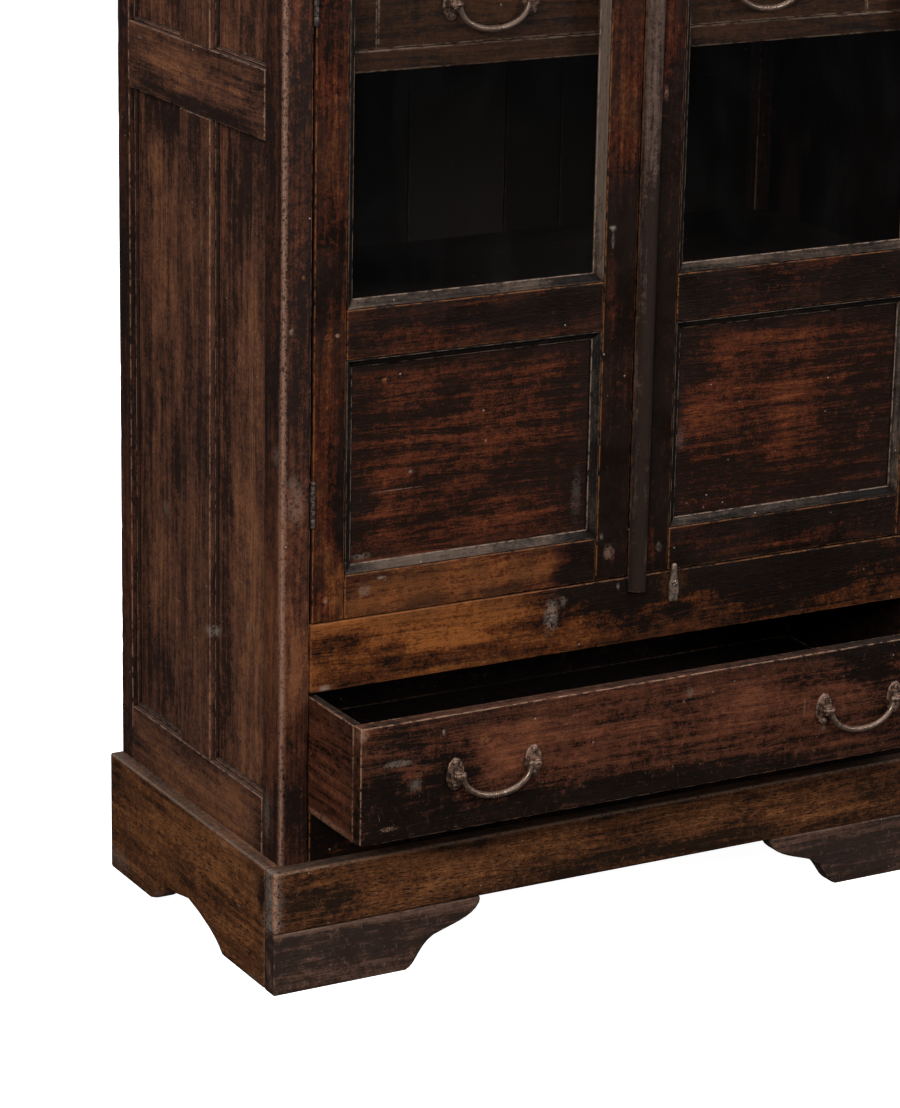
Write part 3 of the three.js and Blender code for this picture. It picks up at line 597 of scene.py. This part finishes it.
SIDE_MARKS = [
    on_side(0.040, 0.419, 0.016, 0.011, CAST, 0.9), on_side(-0.050, 0.450, 0.008, 0.010, PALE, 0.45),
    on_side(-0.068, 0.452, 0.003, 0.005, PALE, 0.6), on_side(-0.028, 0.540, 0.003, 0.008, CAST, 0.7),
    on_side(0.195, 0.540, 0.012, 0.016, CAST, 0.5), on_side(0.062, 0.924, 0.003, 0.004, PALE, 0.8),
    on_side(0.180, 1.160, 0.006, 0.005, BLACK, 0.8), on_side(0.245, 1.155, 0.010, 0.003, PALE, 0.6),
    on_side(0.040, 1.124, 0.006, 0.006, BLACK, 0.7), on_side(0.130, 0.208, 0.018, 0.004, PALE, 0.45),
    on_side(0.160, 0.424, 0.026, 0.0012, PINK, 0.6), on_side(-0.062, 0.700, 0.0012, 0.5, BLACK, 0.7),
    on_side(-0.059, 0.760, 0.0015, 0.35, CAST, 0.35), on_side(-0.025, 0.503, 0.014, 0.0014, PALE, 0.5),
]
PLINTH_MARKS = [
    # the first two marks, pale lines along the plinth's top edges at front and side, are painted highlights
    ((0.0, -0.1845, 0.1645), (None, 0.0032, 0.0032), colour(0.19, 0.12, 0.08), 0.7),
    ((-0.5235, 0.0, 0.1645), (0.0030, None, 0.0030), CAST, 0.7),
    ((-0.527, -0.176, 0.080), (0.020, 0.026, 0.25), CAST, 1.1),
    ((-0.525, -0.186, 0.16), (0.007, 0.007, 0.60), TAN, 1.0),
    on_side(-0.154, 0.135, 0.009, 0.034, BLACK, 0.8), on_side(0.256, 0.085, 0.003, 0.030, PALE, 0.55),
    on_side(0.290, 0.020, 0.060, 0.024, CAST, 0.6), on_side(0.155, 0.010, 0.030, 0.016, CAST, 0.5),
    on_side(-0.130, 0.005, 0.02, 0.010, CAST, 0.5), on_side(-0.085, 0.087, 0.006, 0.008, PALE, 0.4),
    on_side(-0.040, 0.155, 0.012, 0.006, PALE, 0.4), on_side(-0.060, 0.045, 0.003, 0.006, PALE, 0.6),
]
POST_MARKS = [
    # the first mark, a pale band down the post's front arris, is partly worn wood and partly a painted
    # highlight
    ((-0.5065, -0.1645, 1.0), (0.0075, 0.0075, None), colour(0.205, 0.112, 0.078), 0.85),
    on_front(-0.487, 0.640, 0.018, 0.040, PINK, 0.35), on_front(-0.492, 0.668, 0.010, 0.012, CAST, 0.35),
    on_front(-0.495, 0.860, 0.004, 0.006, PALE, 0.6), on_front(-0.480, 0.925, 0.004, 0.004, ORANGE, 0.6),
    on_side(-0.128, 0.225, 0.012, 0.050, CAST, 0.5), on_side(-0.158, 0.600, 0.004, 0.30, PINK, 0.4),
    on_side(-0.150, 0.700, 0.016, 0.018, CAST, 0.4), on_side(-0.105, 0.978, 0.004, 0.006, PALE, 0.5),
]
WOODS = {
    "plinth_wood": wood("plinth_wood", colour(0.014, 0.007, 0.004), colour(0.088, 0.031, 0.0120),
                        colour(0.200, 0.078, 0.027), colour(0.27, 0.155, 0.105), gloss=0.5, pore=0.9,
                        pore_size=1.6, patina=0.45, grime=0.3, dust=0.45, wear=0.7, pore_from=0.54,
                        fibres=1.0, scratches=0.5, marks=PLINTH_MARKS),
    "foot_wood": wood("foot_wood", colour(0.022, 0.013, 0.010), colour(0.080, 0.041, 0.028),
                      colour(0.130, 0.077, 0.056), colour(0.24, 0.17, 0.14), gloss=0.6, grey=0.04,
                      grime=0.2, patina=0.15, bands=1.7, zones=0.2, fibres=1.1, scratches=1.0, dust=0.1),
    "post_wood": wood("post_wood", colour(0.012, 0.007, 0.006), colour(0.066, 0.022, 0.012),
                      colour(0.145, 0.054, 0.023), PINK, gloss=0.42, wear=0.5, grime=0.5, patina=0.35,
                      bands=0.4, marks=POST_MARKS),
    "side_wood": wood("side_wood", colour(0.018, 0.0095, 0.0075), colour(0.083, 0.034, 0.0210),
                      colour(0.178, 0.074, 0.034), PINK, gloss=0.48, grime=0.4, dust=0.5, patina=0.5,
                      marks=SIDE_MARKS),
    "rail_wood": wood("rail_wood", BLACK, colour(0.056, 0.0155, 0.0048),
                      colour(0.172, 0.056, 0.0140), ORANGE, gloss=0.42, grime=0.4, dust=0.2, patina=0.35,
                      bands=0.45, marks=RAIL_MARKS),
    "door_wood": wood("door_wood", BLACK, colour(0.045, 0.0108, 0.0048),
                      colour(0.138, 0.046, 0.0140), ORANGE, gloss=0.40, patina=0.35, grime=0.75,
                      bands=0.4, marks=DOOR_MARKS),
    "drawer_wood": wood("drawer_wood", BLACK, colour(0.056, 0.0180, 0.0095),
                        colour(0.120, 0.040, 0.018), colour(0.24, 0.14, 0.09), gloss=0.44, patina=0.35,
                        bands=0.4, grime=0.45, dust=0.15, wear=0.7, scratches=0.5, marks=DRAWER_MARKS),
    "inside_wood": wood("inside_wood", colour(0.004, 0.003, 0.0028), colour(0.009, 0.006, 0.0048),
                        colour(0.018, 0.011, 0.008), colour(0.04, 0.028, 0.02), gloss=0.62, wear=0.2,
                        dust=0.05),
    # trim_wood: the pale worn colour on the mouldings' sharp bead and edges is partly wear, partly a painted
    # highlight line
    "trim_wood": wood("trim_wood", colour(0.006, 0.0048, 0.0042), colour(0.022, 0.0155, 0.0122),
                      colour(0.066, 0.046, 0.035), colour(0.17, 0.115, 0.085), gloss=0.36, pore=0.6,
                      patina=0.5, grime=0.0, dust=0.0, wear=0.75, wear_width=0.0024),
}
PANEL_WOOD = wood("panel_wood", colour(0.0080, 0.0038, 0.0026), colour(0.056, 0.0140, 0.0062),
                  colour(0.140, 0.041, 0.0125), ORANGE, gloss=0.40, patina=0.25, bands=0.5, zones=0.19,
                  fibres=0.9, grime=0.9, marks=DOOR_MARKS)
BACK_WOOD = wood("back_wood", colour(0.010, 0.0075, 0.0060), colour(0.034, 0.022, 0.015),
                 colour(0.070, 0.045, 0.030), colour(0.10, 0.07, 0.05), gloss=0.6, grime=0.5, wear=0.4,
                 bands=0.9)
BAR_WOOD = wood("astragal_wood", colour(0.016, 0.010, 0.008), colour(0.058, 0.037, 0.029),
                colour(0.095, 0.062, 0.047), colour(0.13, 0.09, 0.07), gloss=0.34, pore=0.5, patina=0.4,
                grime=0.0, wear=0.3)
INNER_WOOD = wood("inner_drawer_wood", colour(0.008, 0.0048, 0.0036), colour(0.031, 0.0128, 0.0058),
                  colour(0.062, 0.026, 0.0120), colour(0.15, 0.10, 0.07), gloss=0.5, grime=0.35, wear=0.9,
                  wear_width=0.0034, dust=0.1)


def iron_material(name, dark, rusty, pale, gloss):
    g = Graph(name)
    place = g.node("TexCoord").outputs["Object"]
    rust = g.noise(place, 190.0, 5.0, 0.65)
    fine = g.noise(place, 900.0, 3.0, 0.6)
    base = g.mix(g.ramp(rust, 0.38, 0.60), dark, rusty)
    base = g.mix(g.times(g.ramp(fine, 0.50, 0.72), 0.35), base, pale)
    height = g.add(rust, g.times(fine, 0.5))
    return g.finish(Base_Color=base, Metallic=g.ramp(rust, 0.42, 0.60, 0.85, 0.35),
                    Roughness=g.ramp(rust, 0.35, 0.65, gloss, gloss + 0.28),
                    Normal=g.bump(height, 0.22, 0.00018))


def glass_material():
    """Thin old glass: clear, with faint smears that catch the light."""
    g = Graph("old_glass")
    place = g.node("TexCoord").outputs["Object"]
    ripple = g.noise(g.stretch(place, (5, 5, 2)), 3.0, 1.0)
    smear = g.noise(g.stretch(place, (4, 4, 1.5)), 3.0, 5.0, 0.7, 0.8)
    tint = g.mix(smear, colour(0.003, 0.003, 0.003), colour(0.010, 0.010, 0.010))
    return g.finish(Base_Color=tint, Roughness=g.ramp(smear, 0.4, 0.65, 0.03, 0.10), Specular_IOR_Level=0.4,
                    Alpha=g.ramp(smear, 0.40, 0.70, 0.05, 0.13), Normal=g.bump(ripple, 0.05, 0.003))


IRON = iron_material("iron", colour(0.050, 0.033, 0.025), colour(0.150, 0.080, 0.052),
                     colour(0.26, 0.165, 0.120), 0.34)
BAIL_IRON = iron_material("bail_iron", colour(0.150, 0.105, 0.078), colour(0.110, 0.064, 0.044),
                          colour(0.26, 0.185, 0.140), 0.30)
HINGE_IRON = iron_material("hinge_iron", colour(0.022, 0.018, 0.017), colour(0.060, 0.040, 0.032),
                           colour(0.14, 0.11, 0.095), 0.42)
BUTTON_IRON = iron_material("button_iron", colour(0.145, 0.110, 0.084), colour(0.11, 0.072, 0.052),
                            colour(0.40, 0.33, 0.27), 0.28)
GLASS = glass_material()


# ------------------------------------------------------------------ boards of the carcase and doors
SEED = {node: k * 11 + 3 for k, node in enumerate(sorted(BODY_OF))}


def plain_board(node, grain, radius=0.0018, chips=0.0012, across=0, spacing=0.012, material=None, tone=0.0,
                foot=0.0):
    """A board in a node's place. foot lets its lower end into what it stands on, so that no gap shows."""
    low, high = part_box(node)
    low[2] -= foot
    points, faces, edge = board_part(low, high, radius, spacing, SEED[node], chips)
    if callable(tone):
        tone = tone(points)
    build = Build().add(points, faces, edge, grain, SEED[node], across, tone)
    stands_for(build.make("board_" + node, material or WOODS[SLOT_OF[node]]), node)


def shaped(node, grain, bevel=0.0015, across=0, spacing=0.012, material=None, tone=0.0):
    material = material or WOODS[SLOT_OF[node]]
    piece = shaped_copy(node, "board_" + node, grain, material, SEED[node], bevel, spacing, across, tone)
    stands_for(piece, node)


INSIDE_HALF = 0.491  # from the centre plane to just inside the side panels


def painted_shade_inside(points):
    """Painted shade: blackens the faces that look into the cabinet."""
    inside = (np.abs(points[:, X]) < INSIDE_HALF) & (points[:, Y] > FRONT + 0.01)
    return np.where(inside, -2.6, 0.0)


def carcase():
    for side, sign in SIDES:
        plain_board("post_front_" + side, Z, 0.005, 0.002, spacing=0.01, foot=0.006, tone=painted_shade_inside)
        plain_board("post_rear_" + side, Z, 0.003, 0.002, across=1, foot=0.004)
        for place, foot in (("bottom", 0.003), ("top", 0), ("middle", 0)):
            plain_board("side_rail_" + place + "_" + side, Y, across=1, foot=foot)
        plain_board("side_panel_" + side, Z, across=1, tone=painted_shade_inside)
        muntin(side)
        shaped("plinth_foot_" + side, X, 0.003, spacing=0.01)
        shaped("plinth_side_" + side, Y, 0.004, across=1)
        side_slips(side, sign)
    # painted shade: the bottom front rail, under the drawer, gets a tone of -0.9 for the shadow beneath the
    # drawer
    for place, tone, foot in (("bottom", -0.9, 0.004), ("middle", 0, 0), ("top", 0, 0)):
        plain_board("front_rail_" + place, X, tone=tone, foot=foot)
    back_boards()
    for node in ("carcase_bottom", "cupboard_floor", "shelf_lower", "shelf_over_drawers"):
        shaped(node, X, 0.001, spacing=0.04)
    shaped("drawer_shelf", X, 0.001, spacing=0.04, material=INNER_WOOD)
    shaped("drawer_frame", X, 0.001, material=INNER_WOOD)
    shaped("plinth_front_board", X, 0.004, spacing=0.01)
    shaped("cornice", X, 0.002, spacing=0.04)
    glue_blocks()


def glue_blocks():
    """Blocks in the corners of the plinth, under the posts."""
    inner_back, top = span("plinth_front_board", Y)[1], span("plinth_front_board", Z)[1]
    width, height, front_depth, rear_depth, gap = 0.072, 0.075, 0.062, 0.045, 0.0006
    for side, sign in SIDES:
        skin = sign * min(abs(x) for x in span("plinth_side_" + side, X))
        rear = span("post_rear_" + side, Y)[1]
        edges = (skin, skin - sign * width)
        for place, front, back in (("front", inner_back, inner_back + front_depth),
                                   ("rear", rear - rear_depth, rear)):
            low = (min(edges), front, top - height)
            high = (max(edges), back, top - gap)
            seed = 500 + len(side) * 3 + len(place)
            points, faces, edge = board_part(low, high, 0.002, 0.012, seed)
            build = Build().add(points, faces, edge, X, seed, 0, -0.4)
            name = "glue_block_" + place + "_" + side
            attach(build.make(name, WOODS["inside_wood"]), "root")


def muntin(side):
    """The muntin shows above and below the middle rail."""
    node = "side_muntin_" + side
    low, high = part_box(node)
    rail_low, rail_high = span("side_rail_middle_" + side, Z)
    build = Build()
    for seed, bottom, top in ((0, low[2], rail_low), (1, rail_high, high[2])):
        ends = (low[X], low[Y], bottom), (high[X], high[Y], top)
        points, faces, edge = board_part(*ends, seed=SEED[node] + seed)
        build.add(points, faces, edge, Z, SEED[node] + seed, 1)
    stands_for(build.make("board_" + node, WOODS[SLOT_OF[node]]), node)


def back_boards():
    """Upright boards of different widths; a tongue in each open joint keeps the light out."""
    low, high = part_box("back_boards")
    middle = (low[1] + high[1]) / 2
    joints = [low[0], -0.255, -0.084, 0.067, 0.155, 0.330, high[0]]
    build = Build()
    for k, (left, right) in enumerate(zip(joints, joints[1:])):
        points, faces, edge = board_part((left + 0.0008, low[1], low[2]), (right - 0.0008, high[1], high[2]),
                                         spacing=0.04, seed=300 + k)
        board = random.Random(k).uniform(-0.3, 0.2)
        # painted shade: the faces of the boards that look into the cabinet get a tone near -2, which paints
        # them nearly black
        build.add(points, faces, edge, Z, 300 + k, None, np.where(points[:, 1] < middle, board - 1.85, board))
    for k, joint in enumerate(joints[1:-1]):
        points, faces, edge = board_part((joint - 0.006, middle - 0.0015, low[2] + 0.001),
                                         (joint + 0.006, middle + 0.0015, high[2] - 0.001),
                                         0.0004, 0.08, 320 + k, 0.0)
        # painted shade: the tongues in the joints are toned nearly black
        build.add(points, faces, edge, Z, 320 + k, None, -2.0)
    stands_for(build.make("board_back_boards", BACK_WOOD), "back_boards")


# ------------------------------------------------------------------ mouldings
def ovolo(width, depth):
    """The door mouldings: a bead by the frame, a hollow, then a step down to the panel or the glass."""
    fall = depth - 0.0015
    return [(-0.0004, -depth, False), (-0.0004, -0.0022, False), (0.0003, -0.0014, False),
            (0.0012, -0.0007, True), (0.0024, -0.0010, False), (0.0032, -0.0020, False),
            (0.0036, -0.0031, False),
            (width * 0.52, -fall * 0.46, False), (width * 0.68, -fall * 0.60, False),
            (width * 0.82, -fall * 0.78, False), (width * 0.90, -fall * 0.86, True),
            (width * 0.99, -fall * 0.91, True), (width, -depth, False)]


def frame_of_strips(name, rect, profile, out, material, body, tones, seed, level, across=0):
    """Four mitred mouldings inside a rectangle: rect is (low, high) across and up; level is its plane."""
    (a0, a1), (z0, z1) = rect
    corners = [(a0, z0), (a1, z0), (a1, z1), (a0, z1)]
    build = Build()
    for k in range(4):
        start, end = corners[k], corners[(k + 1) % 4]
        turn = ((0, 1), (-1, 0), (0, -1), (1, 0))[k]

        def at(pair, depth):
            return (pair[0], depth, pair[1]) if across == X else (depth, pair[0], pair[1])

        points, faces, edge = strip_part(at(start, level), at(end, level), at(turn, 0), out, profile,
                                         seed=seed + k)
        build.add(points, faces, edge, Z if k % 2 else across, seed + k, across, tones[k])
    attach(build.make(name, material), body)


def side_slips(side, sign):
    """Thin slips in the corners between the side panels and their frame."""
    face = span("side_panel_" + side, X)[0 if sign < 0 else 1]
    profile = [(0, 0, False), (0, 0.0046, False), (0.0016, 0.0042, True), (0.0036, 0.0026, False),
               (0.0046, 0, False)]
    front, rear = span("post_front_" + side, Y)[1], span("post_rear_" + side, Y)[0]
    muntin_front, muntin_rear = span("side_muntin_" + side, Y)
    places = ("bottom", "middle", "top")
    bottom, middle, top = (span("side_rail_" + place + "_" + side, Z) for place in places)
    for low, high, level in ((bottom[1], middle[0], "lower"), (middle[1], top[0], "upper")):
        for a, b, place in ((front, muntin_front, "front"), (muntin_rear, rear, "rear")):
            name = "side_slip_" + side + "_" + level + "_" + place
            frame_of_strips(name, ((a, b), (low, high)), profile, (sign, 0, 0), WOODS["side_wood"], "root",
                            (-0.1, -0.9, -0.5, -0.9), SEED["side_panel_" + side] + len(name), face, across=1)


def doors():
    for side, sign in SIDES:
        door = "door_" + side
        plain_board(door + "_hinge_stile", Z, 0.0022, 0.0016)
        plain_board(door + "_meeting_stile", Z, 0.0022, 0.0016)
        for rail in ("bottom_rail", "middle_rail", "top_rail"):
            plain_board(door + "_" + rail, X, 0.0015)
        plain_board(door + "_panel", X, 0.001, 0.0005, spacing=0.008, material=PANEL_WOOD)
        pane = frame["nodes"][door + "_glass"]
        pane.data.materials.clear()
        pane.data.materials.append(GLASS)
        stiles = [span(door + "_hinge_stile", X), span(door + "_meeting_stile", X)]
        stiles.sort()
        rails = [span(door + "_" + rail, Z) for rail in ("bottom_rail", "middle_rail", "top_rail")]
        across = (stiles[0][1] + 0.0003, stiles[1][0] - 0.0003)
        # painted light and shade: the tones go to the bottom, right, top and left strips; strips whose slope
        # faces up or to the left are lighter, those facing down or to the right darker
        for low, high, part, tones in ((rails[0], rails[1], "panel", (0.2, 0.7, -0.6, -0.3)),
                                       (rails[1], rails[2], "glass", (0.5, 1.3, 0.0, -0.6))):
            depth = span(door + "_" + part, Y)[0] - FRONT
            frame_of_strips("moulding_" + side + "_" + part, (across, (low[1] + 0.0003, high[0] - 0.0003)),
                            ovolo(0.0115, depth), (0, -1, 0), WOODS["trim_wood"], door, tones,
                            SEED[door + "_panel"] + 5, FRONT)
    shaped("astragal", Z, 0.0006, material=BAR_WOOD)


DRAWER_SKIN = 0.463  # from the centre plane to just inside the drawer's outer faces


def dark_drawer(points):
    """The drawer is darker inside; its sides are brown where they show."""
    return np.where(np.abs(points[:, X]) < DRAWER_SKIN, -0.8, 0.3)


def drawers():
    plain_board("lower_drawer_front", X, 0.0025, 0.002, spacing=0.009)
    shaped("lower_drawer_box", Y, 0.0012, across=None, tone=dark_drawer)
    for side, _ in SIDES:
        shaped("inner_drawer_" + side, X, 0.0012, material=INNER_WOOD)


# ------------------------------------------------------------------ ironwork
def dome(radius, height):
    return [(0, 0), (radius, 0), (radius, height * 0.35), (radius * 0.8, height * 0.75),
            (radius * 0.4, height), (0, height)]


def ball(radius):
    turns = [math.pi * k / 8 for k in range(9)]
    return [(radius * math.sin(t), -radius * math.cos(t)) for t in turns]


def screw_part(build, centre, radius, height, turn):
    """A slotted screw head facing the front: two halves with the slot between them."""
    for half in (0, math.pi):
        angles = [half + math.radians(a) for a in range(12, 169, 13)]
        rim = [(radius * math.cos(a), radius * math.sin(a)) for a in angles]
        layers = [(1.0, 0.0), (1.0, height * 0.5), (0.78, height)]
        points = []
        for scale, rise in layers:
            for x, z in rim:
                u, v = x * scale, z * scale + (0.0 if scale == 1 else 0.1 * z)
                points.append((centre[0] + u * math.cos(turn) - v * math.sin(turn), centre[1] - rise,
                               centre[2] + u * math.sin(turn) + v * math.cos(turn)))
        build.add(points, ring_faces(len(layers), len(rim)))


def plate_part(build, centre, seed):
    """One oval plate, slightly dished and uneven, with its two screws."""
    layers = ((1.0, 0.0), (1.0, 0.0014), (0.95, 0.0024), (0.82, 0.0031), (0.5, 0.0034), (0.2, 0.0035))
    half_width, half_height, steps = 0.0125, 0.0218, 36
    points = []
    for scale, rise in layers:
        for k in range(steps):
            angle = 2 * math.pi * k / steps
            x, z = half_width * scale * math.cos(angle), half_height * scale * math.sin(angle)
            points.append((centre[0] + x, centre[1] - rise, centre[2] + z))
    points = np.array(points)
    points[steps:, Y] += noise_at(points[steps:], 0.007, seed) * 0.0004
    build.add(points, ring_faces(len(layers), steps))
    for k, rise in enumerate((0.0148, -0.0148)):
        place = (centre[0], centre[1] - 0.0028, centre[2] + rise)
        screw_part(build, place, 0.0034, 0.0018, seed * 1.3 + k * 0.9)


def eye_part(build, centre, pivot_y, sign):
    """The stubby block that stands out from the plate and holds the bail's pin."""
    low = (centre[0] - 0.0052, pivot_y - 0.0042, centre[2] - 0.0062)
    high = (centre[0] + 0.0052, centre[1] - 0.0018, centre[2] + 0.0062)
    points, faces, _ = board_part(low, high, 0.0022, 0.003, seed=7, chips=0.0006)
    build.add(points, faces)
    profile = [(0, -0.0068), (0.0036, -0.0068), (0.0042, -0.0055), (0.0042, 0.0055),
               (0.0036, 0.0068), (0, 0.0068)]
    points, faces = lathe_part(profile, (centre[0] + sign * 0.0016, pivot_y - 0.0008, centre[2]), (1, 0, 0))
    build.add(points, faces)


def bail(node, plates_on, face, seed):
    """A drop handle: the bar with its beads and end balls, and the plates that it hangs from."""
    low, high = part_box(node)
    pivot = Vector(((low[0] + high[0]) / 2, (low[1] + high[1]) / 2, high[2] - 0.0024))
    plate_half = (high[0] - low[0]) / 2 - 0.006
    bar_half, drop = plate_half - 0.0075, pivot[2] - low[2] - 0.0044
    path, radii = [], []
    count = 260
    bead_reach, bead_pitch = 0.0083, 0.0033
    for k in range(count + 1):
        t = math.pi * k / count
        path.append(pivot + Vector((-bar_half * math.cos(t), 0, -drop * math.sin(t) ** 0.92)))
        middle = abs(t - math.pi / 2) * bar_half
        radius = 0.0030 + 0.0011 * math.sin(t) ** 0.8
        if middle < bead_reach:
            radius = 0.0025 + 0.0022 * abs(math.cos(middle / bead_pitch * math.pi)) ** 0.8
        radii.append(radius)
    build = Build().add(*tube_part(path, radii, (0, 1, 0)))
    for sign in (-1, 1):
        end = pivot + Vector((sign * bar_half, 0, 0.0004))
        build.add(*lathe_part(ball(0.0040), end, (1, 0, 0)))
        pin = [(0, 0), (0.0021, 0), (0.0021, 0.0135), (0, 0.0135)]
        build.add(*lathe_part(pin, end, (sign, 0, 0), 10))
    stands_for(build.make("handle_" + node, BAIL_IRON), node)
    for sign, place in ((-1, "a"), (1, "b")):
        plates = Build()
        centre = (pivot[0] + sign * plate_half, face, pivot[2])
        plate_part(plates, centre, seed + sign)
        eye_part(plates, centre, pivot[1], -sign)
        attach(plates.make("plate_" + node + "_" + place, IRON), plates_on)


def hinge(node):
    """Five knuckles with rounded ends, and the leaf let into the seam."""
    low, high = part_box(node)
    middle = (low[0] + high[0]) / 2
    radius = (high[0] - low[0]) / 2
    centre = (middle, low[1] + radius, low[2])
    length = high[2] - low[2]
    build = Build()
    profile = [(0, 0)]
    for k in range(5):
        bottom, top = length * k / 5, length * (k + 1) / 5
        ends = [(radius * 0.72, 0.0001), (radius * 0.94, 0.0006), (radius, 0.0018)]
        profile += [(wide, bottom + inset) for wide, inset in ends]
        profile += [(wide, top - inset) for wide, inset in reversed(ends)]
    profile.append((0, length))
    build.add(*lathe_part(profile, centre, (0, 0, 1), 18))
    half_leaf = 0.0006
    points, faces, _ = board_part((middle - half_leaf, low[1] + radius, low[2]),
                                  (middle + half_leaf, high[1], high[2]), 0.0003, 0.01, chips=0.0)
    build.add(points, faces)
    stands_for(build.make("iron_" + node, HINGE_IRON), node)


def turn_button():
    """A worn iron bar, waisted at its pivot, with a slotted screw through a low boss."""
    low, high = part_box("turn_button")
    centre = ((low[0] + high[0]) / 2, high[1], (low[2] + high[2]) / 2)
    half_width, half_height, depth = (high[0] - low[0]) / 2, (high[2] - low[2]) / 2, high[1] - low[1]
    outline = []
    steps = 44
    for k in range(steps):
        angle = 2 * math.pi * k / steps
        up = math.sin(angle)
        across = math.copysign(abs(math.cos(angle)) ** 0.28, math.cos(angle))
        rise = math.copysign(abs(up) ** 0.5, up)
        width = 1.12 - 0.48 * min(1, max(0, (rise - 0.05) / 0.25))
        outline.append((half_width * width * across, half_height * rise))
    points = []
    layers = ((1.0, 0.0), (1.0, 0.55), (0.94, 0.8), (0.8, 0.92), (0.4, 0.97))
    for scale, rise in layers:
        for x, z in outline:
            z *= 0.5 + 0.5 * scale
            points.append((centre[0] + x * scale, centre[1] - depth * rise, centre[2] + z))
    points = np.array(points)
    points[steps:, Y] += noise_at(points[steps:], 0.006, 3) * 0.0005
    build = Build().add(points, ring_faces(len(layers), steps))
    screw_part(build, (centre[0], centre[1] - depth, centre[2]), 0.0042, 0.0016, 0.5)
    stands_for(build.make("iron_turn_button", BUTTON_IRON), "turn_button")


def pins():
    """Wooden pins in the hinged stiles, where the bottom and middle rails are tenoned into them."""
    for side, sign in SIDES:
        door = "door_" + side
        low, high = span(door + "_hinge_stile", X)
        places = []
        for rail in ("bottom_rail", "middle_rail"):
            bottom, top = span(door + "_" + rail, Z)
            places.append(((low + high) / 2 + sign * 0.004, bottom + (top - bottom) * 0.5))
        build = Build()
        for k, (x, z) in enumerate(places):
            points, faces = lathe_part(dome(0.0042, 0.0009), (x, FRONT + 0.0004, z), (0, -1, 0))
            build.add(points, faces, grain=Y, seed=40 + k, tone=0.6)
        attach(build.make("pins_" + side, WOODS["door_wood"]), door)


def ironwork():
    inner = span("inner_drawer_left", Y)[0]
    for k, (side, _) in enumerate(SIDES):
        bail("lower_bail_" + side, "lower_drawer", DRAWER_FACE, 11 + 7 * k)
        bail("inner_bail_" + side, "inner_drawer_" + side, inner, 31 + 7 * k)
        for place in ("lower", "middle", "upper"):
            hinge("hinge_" + side + "_" + place)
    turn_button()
    pins()


carcase()
doors()
drawers()
ironwork()


# ------------------------------------------------------------------ camera, light and floor
CAMERA_PLACE = (-2.5734, -4.2679, 2.0018)  # this and its angles and lens are fitted to the photo


def camera():
    yaw, pitch, roll = math.radians(29.32), math.radians(17.17), math.radians(1.08)
    forward = Vector((math.sin(yaw) * math.cos(pitch), math.cos(yaw) * math.cos(pitch), -math.sin(pitch)))
    level = Vector((math.cos(yaw), -math.sin(yaw), 0))
    above = level.cross(forward)
    right = math.cos(roll) * level + math.sin(roll) * above
    up = right.cross(forward)
    data = bpy.data.cameras.new("camera")
    data.sensor_width = 36
    data.lens = 126.9
    data.clip_end = 50
    made = bpy.data.objects.new("camera", data)
    bpy.context.scene.collection.objects.link(made)
    turn = Matrix((right, up, -forward)).transposed().to_4x4()
    made.matrix_world = Matrix.Translation(CAMERA_PLACE) @ turn
    bpy.context.scene.camera = made


def area_light(name, place, target, size, power, tint=(1, 1, 1)):
    data = bpy.data.lights.new(name, "AREA")
    data.shape = "RECTANGLE"
    data.size, data.size_y = size
    data.energy = power
    data.color = tint
    made = bpy.data.objects.new(name, data)
    bpy.context.scene.collection.objects.link(made)
    made.location = place
    made.rotation_euler = (Vector(target) - Vector(place)).to_track_quat("-Z", "Y").to_euler()


def studio():
    area_light("key", (-3.4, -3.2, 3.0), (0, 0, 0.7), (1.8, 2.2), 270, (1, 0.98, 0.95))
    area_light("fill", (2.6, -4.2, 2.8), (0.1, 0, 0.7), (2.2, 2.2), 180, (0.97, 0.98, 1))
    area_light("top", (0, -0.8, 5.0), (0, 0, 0.5), (3.6, 3.6), 210)
    area_light("back", (0.5, 4.0, 3.4), (0, 0, 1), (3.0, 3.0), 120)
    world = bpy.data.worlds.new("studio")
    bpy.context.scene.world = world
    world.use_nodes = True
    nodes, links = world.node_tree.nodes, world.node_tree.links
    backdrop = nodes["Background"]
    backdrop.inputs["Color"].default_value = colour(0.985, 0.99, 1)
    path = nodes.new("ShaderNodeLightPath")
    strength = nodes.new("ShaderNodeMapRange")
    strength.inputs["To Min"].default_value = 0.09
    strength.inputs["To Max"].default_value = 1.0
    links.new(path.outputs["Is Camera Ray"], strength.inputs["Value"])
    links.new(strength.outputs["Result"], backdrop.inputs["Strength"])
    bpy.context.scene.view_settings.view_transform = "Standard"

    mesh = bpy.data.meshes.new("floor")
    reach = 14.0
    mesh.from_pydata([(-reach, -reach, 0), (reach, -reach, 0), (reach, reach, 0), (-reach, reach, 0)],
                     [], [(0, 1, 2, 3)])
    g = Graph("floor_white")
    speckle = g.noise(g.node("TexCoord").outputs["Object"], 3.0, 2.0)
    tint = g.mix(speckle, colour(0.90, 0.90, 0.90), colour(0.93, 0.93, 0.93))
    g.surface.inputs["Emission Color"].default_value = colour(1, 1, 1)
    g.surface.inputs["Emission Strength"].default_value = 0.96
    floor = new_object("floor", mesh, g.finish(Base_Color=tint, Roughness=0.9), smooth=False)
    floor.visible_glossy = False
    floor.visible_diffuse = False


camera()
studio()
